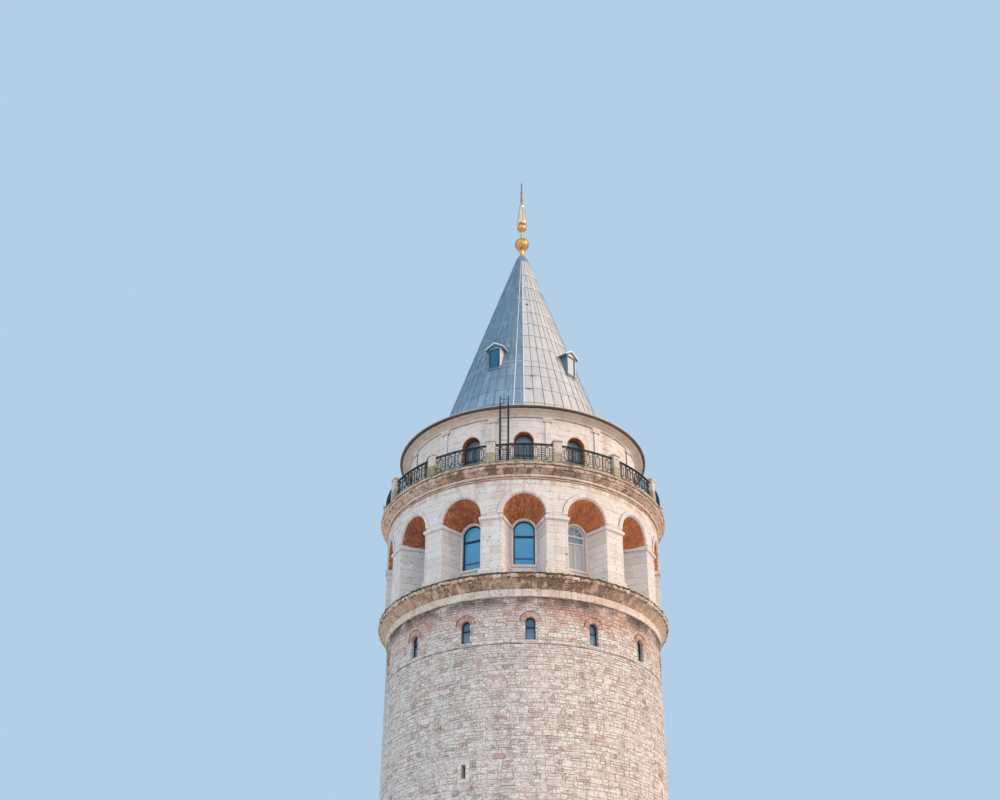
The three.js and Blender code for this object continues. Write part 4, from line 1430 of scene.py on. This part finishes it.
def ironPanels():
    setup = balustrade
    radius, low, high, thin = (setup[key] for key in ("radius", "railFoot", "railTop", "bar"))
    mason = Mason()

    def onRail(points, thickness, looped=False, sides=4):
        path = [onRound(degrees(across / radius), radius, height) for across, height in points]
        mason.tube(path, thickness, sides, looped)

    full = pi * radius / bayCount
    for height, thickness, sides in (
        (high - 0.02, 0.055, 6), (high - 0.12, 0.02, 4), (low, 0.032, 4), (low + 0.1, 0.018, 4),
    ):
        onRail([(-full + 2 * full * step / 12, height) for step in range(13)], thickness, sides=sides)
    clearHalf = full - setup["postHalf"] + 0.03
    wide = 2 * clearHalf / setup["panels"]
    base, head = low + 0.1, high - 0.12
    middle, tall = (base + head) / 2, head - base
    ovalWide, ovalTall = setup["oval"]
    scrollOut, scrollUp, scrollSize, scrollTurns = setup["scroll"]
    for panel in range(setup["panels"]):
        centre = -clearHalf + (panel + 0.5) * wide
        for edge in (centre - wide / 2, centre + wide / 2):
            if abs(edge) < clearHalf - 0.01:
                onRail([(edge, low), (edge, high)], thin * 1.3)
        angles = [2 * pi * step / 16 for step in range(16)]
        oval = [
            (centre + ovalWide * wide * cos(angle), middle + ovalTall * tall * sin(angle)) for angle in angles
        ]
        onRail(oval, thin, True)
        onRail([(centre, base), (centre, head)], thin * 0.8)
        for sideways in (-1, 1):
            link = [(centre + sideways * ovalWide * wide, middle), (centre + sideways * wide / 2, middle)]
            onRail(link, thin * 0.8)
            for upwards in (-1, 1):
                corner = (centre + sideways * scrollOut * wide, middle + upwards * scrollUp * tall)
                start = atan2(upwards, -sideways)
                onRail(spiral(corner, start, scrollSize, scrollTurns, sideways * upwards), thin * 0.8)
    replaced = ("balustrade_railing_front", "balustrade_railing_back")
    mason.layRound("iron_panels", "iron", "ironwork", replaced)


balustradeStones()
ironPanels()
print("stage: balustrade set")


# Eaves: a moulded stone band, a painted rim and the lead skirt that runs up to the cone.
eaveSetup = {
    "band": [
        (7.12, 42.6), (7.2, 42.6), (7.22, 42.62), (7.22, 42.76), (7.25, 42.78), (7.3, 42.8), (7.34, 42.84),
        (7.37, 42.87), (7.46, 42.89), (7.6, 42.9), (7.65, 42.915), (7.65, 42.945), (6.9, 42.945),
        (6.9, 42.77), (7.12, 42.77),
    ],
    "line": [(7.1, 42.565), (7.185, 42.565), (7.19, 42.58), (7.185, 42.595), (7.1, 42.595)],
    "rim": [
        (7.2, 42.951), (7.72, 42.951), (7.77, 42.965), (7.79, 42.985), (7.79, 43.02), (7.76, 43.045),
        (7.2, 43.045),
    ],
    "skirt": [
        (5.4, 43.06), (7.76, 43.055), (7.8, 43.035), (7.815, 43.04), (7.815, 43.075), (7.78, 43.095),
        (6.1, 43.318), (5.75, 43.335), (5.4, 43.335),
    ],
    "lugs": 84, "lug": (0.02, 7.74, 7.64, 42.93, 42.953), "rolls": 40,
    "roll": ((7.76, 43.1), (6.1, 43.33), (5.8, 43.36)), "sunlitSideTint": 0.27,
}


def eaves():
    setup = eaveSetup
    stone, line, rim, skirt = (Mason() for _ in range(4))
    stone.ring(setup["band"], tint=0.04)
    stone.lay("drum_moulding", "eaveStone", "limestone", ("drum_cornice",))
    line.ring(setup["line"])
    line.lay("drum_moulding_line", "line", "limestone")
    rim.ring(setup["rim"])
    wide, front, back, low, high = setup["lug"]
    for index in range(setup["lugs"]):
        rim.box((-wide, -front, low), (wide, -back, high), 0.3, 360 / setup["lugs"] * index)
    rim.lay("eave_rim", "eaveMetal", "eave_metal", ("eave_edge",))
    skirt.ring(setup["skirt"], tint=0.35)
    skirt.tube([onRound(3 * turn, 7.815, 43.07) for turn in range(120)], 0.026, 6, looped=True, tint=0.62)
    for index in range(setup["rolls"]):
        azimuth = 360 / setup["rolls"] * (index + 0.5)
        skirt.tube([onRound(azimuth, *point) for point in setup["roll"]], 0.03, 6)
    # Painted sunlight: the skirt's right half, x above 0, takes a paler tint.
    skirt.tints = [
        tint + (setup["sunlitSideTint"] if x > 0 else 0.0) for tint, (x, _, _) in zip(skirt.tints, skirt.points)
    ]
    skirt.lay("lead_skirt", "lead", "lead")


# Cone: lead sheets between standing seams, each lapped over the one below, paler on the right half as painted
# sunlight and blue grey on the left as painted shade. A dark mark is azimuth, height and size: the first is a
# vent, the other two are painted shadows at laps.
leadRoof = {
    "apex": 60.9, "slope": 0.33, "foot": 43.32, "top": 59.4, "seams": 52, "firstSeam": 0.5, "sunlitSideTint": 0.43,
    "laps": [43.32, 44.8, 46.05, 47.3, 48.15, 50.0, 51.2, 52.4, 53.65, 55.0, 56.3, 57.7, 59.42],
    "stagger": 0.03, "lift": 0.026, "hoop": 48.67, "bright": (0, 51), "seamSize": 0.02, "shortSeam": 56.6,
    "ventAndLapShadows": ((8.2, 54.44, 0.08, 0.07), (7.0, 47.24, 0.12, 0.04), (4.0, 46.02, 0.16, 0.03)),
}


def onCone(azimuth, height, out=0.0):
    return onRound(azimuth, leadRoof["slope"] * (leadRoof["apex"] - height) + out, height)


def coneSheets():
    dice = random.Random(71)
    roof = leadRoof
    mason, seams = Mason(), Mason()
    foot, top, laps, size, lift = (roof[key] for key in ("foot", "top", "laps", "seamSize", "lift"))
    core = [(foot, -0.25), (foot, -0.012), (top, -0.012), (top, -0.25)]
    mason.ring([(roof["slope"] * (roof["apex"] - height) + out, height) for height, out in core], 160, 0.1)
    step = 360 / roof["seams"]
    for index in range(roof["seams"]):
        shift = roof["stagger"] if index % 2 else 0
        for row, (low, high) in enumerate(zip(laps, laps[1:])):
            end = high if high == laps[-1] else high + shift
            start = max(low + (shift if row else 0), foot) + (dice.uniform(-0.03, 0.03) if row else 0)
            sink = dice.uniform(-0.004, 0.006)
            rings = []
            for share in (0.04, 0.35, 0.65, 0.96):
                azimuth = roof["firstSeam"] + step * (index + share)
                swell = 0.01 if 0.1 < share < 0.9 else 0.0
                middle = onCone(azimuth, (start + end) / 2, lift * 0.5 + swell + sink)
                (xo, yo, _), (xi, yi, _) = onCone(azimuth, end, 0.002), onCone(azimuth, end, -0.03)
                rings.append([
                    onCone(azimuth, start, -0.02), onCone(azimuth, start, lift + sink), middle,
                    (xo, yo, end + 0.03), (xi, yi, end + 0.03),
                ])
            # Painted light: sheets of the right half take a higher tint, pale as in sunlight; the left half
            # stays blue grey as painted shade.
            mason.loft(rings, dice.uniform(0.2, 0.42) + (roof["sunlitSideTint"] if index < roof["seams"] / 2 else 0.0))
            # Each lap gets a dark strip at the sheet's foot: the joint, darkened as painted shade under the
            # lapped edge.
            if row:
                corners = ((-0.03, -0.035), (0.018, -0.035), (0.03, 0.006), (-0.03, 0.006))
                ends = [roof["firstSeam"] + step * (index + share) for share in (0.02, 0.98)]
                lap = [[onCone(azimuth, start + up, out) for out, up in corners] for azimuth in ends]
                mason.loft(lap, 0.0)
    mason.lay("lead_sheets", "lead", "lead", ("roof_cone_right", "roof_cone_left"))
    for index in range(roof["seams"]):
        isBright = index in roof["bright"]
        azimuth = roof["firstSeam"] + step * index
        last = top if index % 2 == 0 or isBright else roof["shortSeam"]
        heights = [foot + (last - foot) * point / 14 for point in range(15)]
        path = [onCone(azimuth + dice.uniform(-0.05, 0.05), height, size) for height in heights]
        seams.tube(path, size * (1.7 if isBright else 1.15), 6, tint=1.0 if isBright else 0.05, taper=0.4)
        # Painted highlight: a pale strip beside each seam on the right half, where the light catches it.
        if index < roof["seams"] / 2 and not isBright:
            edge = [onRound(azimuth + 0.26, hypot(x, y) - 0.008, z) for x, y, z in path]
            seams.tube(edge, size * 0.8, 4, tint=1.0, taper=0.3)
    hoop = [onCone(3 * turn, roof["hoop"], 0.03) for turn in range(120)]
    seams.tube(hoop, 0.024, 6, looped=True, tint=0.62)
    # Dark boxes: one for the vent, and two as painted shadows at laps.
    for azimuth, height, wide, tall in roof["ventAndLapShadows"]:
        _, out, _ = onCone(0, height)
        seams.box((-wide, out - 0.06, height - tall), (wide, out + 0.2, height + tall), 0.0, azimuth)
    seams.lay("lead_seams", "lead", "lead")


# Dormers: gabled casings with a frame, a pane, a sill and lead flashings. A second pair stands opposite
# the first.
dormers = {
    "azimuths": (-25, 47), "half": 0.41, "foot": 48.15, "eaves": 49.73, "ridge": 50.14, "face": 4.28,
    "back": 2.95, "glass": 4.2, "side": 0.24, "front": 0.1, "post": 0.04, "sill": 48.3, "head": 49.66,
    "laps": (48.62, 49.0, 49.4), "battens": (3.35, 3.85), "apron": (4.24, 3.6),
}


def placeDormers(one, name, finish, slot, node=None, shades=None):
    pair = Mason()
    for index, azimuth in enumerate(dormers["azimuths"]):
        pair.takeOver(one, azimuth)
        # A shade per dormer overrides its tints, painting its light, shade and reflection.
        if shades:
            pair.tints[-len(one.tints):] = [shades[index]] * len(one.tints)
    replaced = ["%s_%d" % (node, number) for number in range(1, 5)] if node else ()
    pair.layRound(name, finish, slot, replaced, count=2)


def dormerPieces():
    setup = dormers
    half, foot, high, face, ridge = (setup[key] for key in ("half", "foot", "eaves", "face", "ridge"))
    back, post, sill, head, glass = (setup[key] for key in ("back", "post", "sill", "head", "glass"))
    casing, gables, roofs, boards, frames, panes = (Mason() for _ in range(6))
    for side in (-1, 1):
        left, right = mirrored(side, half, half - post)
        walls = [(left, -back), (right, -back), (right, -face), (left, -face)]
        # Painted light and shade: the left cheek takes the darkest lead tint as painted shade, the right
        # cheek a pale one as painted sunlight.
        casing.loft([[(x, y, z) for x, y in walls] for z in (foot, high)], 0.0 if side < 0 else 0.95)
        left, right = mirrored(side, half + 0.008, half - 0.02)
        for level in setup["laps"]:
            casing.box((left, -face + 0.03, level), (right, -3.4, level + 0.016), 0.15)
    casing.box((post - half, -face + 0.01, foot), (half - post, -3.5, sill), 0.3)
    casing.box((post - half, -face + 0.01, head), (half - post, -back, high), 0.3)
    placeDormers(casing, "dormer_casings", "lead", "lead", "dormer")
    gable = [(-half, high), (half, high), (half, high + 0.02), (0, ridge - 0.09), (-half, high + 0.02)]
    gables.slab(gable, back, face, 1.0)
    # Painted shade and light: the first dormer's gable is tinted dark as painted shade, the second's pale as
    # painted sunlight.
    placeDormers(gables, "dormer_gables", "lead", "lead", shades=(0.03, 0.75))
    wide, out = half + setup["side"], face + setup["front"]
    apronFront, apronBack = setup["apron"]
    for side in (-1, 1):
        outline = [
            (0, ridge), (side * wide, high), (side * wide, high - 0.045), (side * (wide - 0.03), high - 0.05),
            (0, ridge - 0.075),
        ]
        roofs.loft([flat(outline, back), flat(outline, out - 0.02), flat(outline, out)], 1.0)
        for distance in (*setup["battens"], out - 0.04):
            roll = [(side * 0.02, -distance, ridge + 0.008), (side * wide, -distance, high + 0.008)]
            roofs.tube(roll, 0.018)
    roofs.tube([(0, -back, ridge - 0.005), (0, -out, ridge - 0.005)], 0.03, 6, tint=0.7)
    placeDormers(roofs, "dormer_roofs", "lead", "lead")
    for side in (-1, 1):
        outline = [
            (0, ridge - 0.076), (side * (wide - 0.03), high - 0.051), (side * (wide - 0.05), high - 0.09),
            (0, ridge - 0.17),
        ]
        boards.slab(outline, face + 0.005, out - 0.02, 0.3)
        left, right = mirrored(side, half + 0.005, wide - 0.02)
        boards.box((left, -out + 0.03, high - 0.075), (right, -back, high - 0.052), 0.3)
        left, right = mirrored(side, half + 0.002, half + 0.09)
        boards.box((left, -apronFront, foot), (right, -apronBack, foot + 0.09), 0.3)
    boards.box((-half - 0.04, -face - 0.03, sill - 0.05), (half + 0.04, -4.0, sill), 0.3)
    # Painted shade: the boards under the roof overhang, the aprons and the sill take the darkest lead tint.
    placeDormers(boards, "dormer_boards", "lead", "lead", shades=(0.0, 0.08))
    inner = half - post
    # The right bar is wider than the left: a painted shadow strip inside the right jamb.
    for left, right, low, top in (
        (-inner, 0.06 - inner, sill, head), (inner - 0.1, inner, sill, head),
        (-inner, inner, sill, sill + 0.03), (-inner, inner, head - 0.05, head),
    ):
        frames.bar(left, right, low, top, glass - 0.01, glass + 0.05)
    placeDormers(frames, "dormer_frames", "darkFrame", "ironwork")
    panes.slab(rect(-inner, inner, sill, head), glass, glass + 0.03)
    # Painted reflection: the second dormer's pane takes a high tint, pale as glass seen at a grazing angle.
    placeDormers(panes, "dormer_panes", "roofGlass", "glass", "dormer_window", (0.0, 1.0))


# Finial: a folded lead cap, then gilded balls, a vase and a tapering rod, as (radius, height) points.
capProfile = [
    (0.5, 59.4), (0.515, 59.41), (0.51, 59.45), (0.43, 59.68), (0.35, 59.9), (0.3, 60.0), (0.23, 60.05),
    (0.19, 60.07), (0.19, 60.1),
]


def ballRun(centre, radius, lowNeck, highNeck, steps):
    return arc(radius, centre, -acos(lowNeck / radius), acos(highNeck / radius), steps)


gildedPieces = {
    "gilded_large_ball": ("gold", "finial_large_ball", 64, [
        (0.17, 60.1), (0.165, 60.14), (0.15, 60.2), (0.145, 60.3), (0.15, 60.5), (0.165, 60.55),
        (0.18, 60.58), (0.185, 60.605), (0.18, 60.63), (0.15, 60.655), (0.13, 60.68),
        *ballRun(61.19, 0.5, 0.12, 0.1, 24), (0.085, 61.7), (0.07, 61.76), (0.065, 61.84), (0.07, 61.92),
        (0.1, 61.95), (0.105, 61.98), (0.1, 62.0),
    ]),
    "gilded_small_ball": ("gold", "finial_small_ball", 56, [
        (0.06, 62.0), (0.055, 62.2), (0.06, 62.34), (0.09, 62.365), *ballRun(62.7, 0.33, 0.1, 0.16, 20),
        (0.16, 63.0),
    ]),
    "gilded_vase": ("paleGold", "finial_spire", 56, [
        (0.33, 63.0), (0.35, 63.02), (0.362, 63.08), (0.355, 63.18), (0.335, 63.34), (0.28, 63.8),
        (0.23, 64.2), (0.195, 64.48), (0.17, 64.56), (0.185, 64.6), (0.193, 64.65), (0.185, 64.7),
        (0.14, 64.74), (0.115, 64.8), (0.1, 64.95), (0.085, 65.4), (0.07, 66.0), (0.055, 66.6),
        (0.045, 66.82), (0.03, 66.88), (0.012, 66.9),
    ]),
}


def finial():
    cap = Mason()
    cap.spindle(capProfile, 48, 0.2)
    for index in range(10):
        fold = ((0.5, 59.45), (0.42, 59.7), (0.31, 59.98))
        cap.tube([onRound(36 * index, *point) for point in fold], 0.014, 5)
    cap.lay("lead_cap", "lead", "lead", ("roof_cap",), True)
    for name, (finish, node, steps, profile) in gildedPieces.items():
        piece = Mason()
        piece.spindle(profile, steps)
        piece.lay(name, finish, "gold", (node,), True)


eaves()
coneSheets()
dormerPieces()
finial()
print("stage: roof covered")


# Fixed ladder over the eaves: two flat stiles, lighter above the tie, and round rungs.
ladder = {
    "centre": -1.15, "half": 0.24, "distance": 7.94, "stile": 0.05, "foot": 38.73, "top": 43.6, "tie": 43.01,
    "rungs": 15, "firstRung": 39.02, "rungStep": 0.31, "eaves": 7.81,
}


def ladderBars():
    mason = Mason()
    keys = ("centre", "half", "distance", "stile", "tie")
    centre, half, distance, stile, tie = (ladder[key] for key in keys)
    for x in (centre - half, centre + half):
        for low, high, wide in ((ladder["foot"], tie, stile), (tie, ladder["top"], stile * 0.5)):
            mason.box((x - wide, -distance - 0.02, low), (x + wide, -distance + 0.02, high), 0.4)
            for edge in (-wide, wide):
                mason.tube([(x + edge, -distance, low), (x + edge, -distance, high)], 0.008, 6)
        mason.tube([(x, -distance, tie), (x, -ladder["eaves"], tie)], 0.02, 6)
    for rung in range(ladder["rungs"]):
        height = ladder["firstRung"] + ladder["rungStep"] * rung
        mason.tube([(centre - half, -distance, height), (centre + half, -distance, height)], 0.01, 6)
    mason.lay("ladder_bars", "iron", "ironwork", ("access_ladder",))


# Entrance: dressed stones round the doorway, and a boarded leaf with iron straps, standing open inwards.
entranceSetup = {
    "near": 8.02, "face": 8.335, "courses": 7, "lintels": 5, "lintelHalf": 1.17, "lintelFaces": (8.33, 8.345),
    "boards": 7, "leafFrom": 5.927, "leafWidth": 1.696, "leaf": (0.125, 2.938), "leafFaces": (-0.845, -0.775),
    "straps": (0.55, 1.5, 2.5), "strapEnds": (7.62, 6.1), "studs": 6, "firstStud": 6.2, "studStep": 0.25,
}


def entrance():
    dice = random.Random(73)
    setup = entranceSetup
    stones, boards, straps = (Mason() for _ in range(3))
    half, head, near, count = door["half"], door["head"], setup["near"], setup["lintels"]
    sides = (half, half + door["surround"] - 0.1)
    jambStones(
        stones, dice, sides, (0, head), setup["courses"], 0.006, near, setup["face"], (-0.01, 0.005), 0.015,
        stagger=-0.08, place=inPlane,
    )
    for index in range(count):
        left = -setup["lintelHalf"] + 2 * setup["lintelHalf"] * index / count + 0.005
        right = -setup["lintelHalf"] + 2 * setup["lintelHalf"] * (index + 1) / count - 0.005
        far = setup["lintelFaces"][index == count // 2]
        stones.block(rect(left, right, head + 0.004, head + 0.32), near, far, 0.015, dice.random(), inPlane)
    stones.weather(0.008, 6)
    stones.lay("entrance_stones", "ashlar", "limestone", ("entrance_surround",))
    (low, high), (hinge, front) = setup["leaf"], setup["leafFaces"]
    start, wide = setup["leafFrom"], setup["leafWidth"] / setup["boards"]
    for index in range(setup["boards"]):
        near, far = start + wide * index + 0.006, start + wide * (index + 1) - 0.006
        boards.box((hinge, -far, low), (front, -near, high), dice.random())
    boards.lay("door_boards", "oak", "oak", ("entrance_door",))
    outer, inner = setup["strapEnds"]
    for level in setup["straps"]:
        straps.box((-0.779, -outer, level), (-0.765, -inner, level + 0.08), 0.5)
        for place in (setup["firstStud"] + setup["studStep"] * stud for stud in range(setup["studs"])):
            straps.box((-0.767, -place - 0.02, level + 0.02), (-0.757, -place + 0.02, level + 0.06), 0.5)
    straps.lay("door_straps", "iron", "ironwork")


ladderBars()
entrance()
print("stage: ladder and entrance made")


# Stage: a plain pale floor and a pale sky all round, with a warm soft lamp and a low glow from the right,
# and a broad cool lamp in front.
stageSetup = {
    "floorSize": 400, "floor": (0.78, 0.73, 0.66), "sky": (0.45, 0.62, 0.80), "skyStrength": 1.0,
    "lamps": {
        "warm_lamp": {"turn": 74, "height": 31, "strength": 1.8, "colour": (1.0, 0.70, 0.40), "softness": 22},
        "glow_lamp": {"turn": 56, "height": 5, "strength": 1.55, "colour": (1.0, 0.62, 0.40), "softness": 70},
        "cool_lamp": {
            "turn": -28, "height": 12, "strength": 1.1, "colour": (0.92, 0.95, 1.0), "softness": 110,
        },
    },
}


def makeStage():
    mesh = bpy.data.meshes.new("floor")
    size = stageSetup["floorSize"]
    mesh.from_pydata([(x, y, 0) for x, y in rect(-size, size, -size, size)], [], [(0, 1, 2, 3)])
    floor = addObject("floor", mesh)
    finish = Finish("plain_floor", stageSetup["floor"])
    finish.coat(finish.noise(3) * 0.15, [value * 0.9 for value in stageSetup["floor"]])
    mesh.materials.append(finish.finished(0.95))
    world = bpy.data.worlds.new("sky")
    world.use_nodes = True
    background = world.node_tree.nodes["Background"]
    background.inputs["Color"].default_value = (*stageSetup["sky"], 1)
    background.inputs["Strength"].default_value = stageSetup["skyStrength"]
    bpy.context.scene.world = world
    bpy.context.scene.view_settings.view_transform = "Standard"
    for name, lamp in stageSetup["lamps"].items():
        data = bpy.data.lights.new(name, "SUN")
        data.energy = lamp["strength"]
        data.color = lamp["colour"]
        data.angle = radians(lamp["softness"])
        addObject(name, data).rotation_euler = (radians(90 - lamp["height"]), 0, radians(lamp["turn"]))


makeStage()
bpy.data.objects.remove(stoneShape)
print("stage: finished")
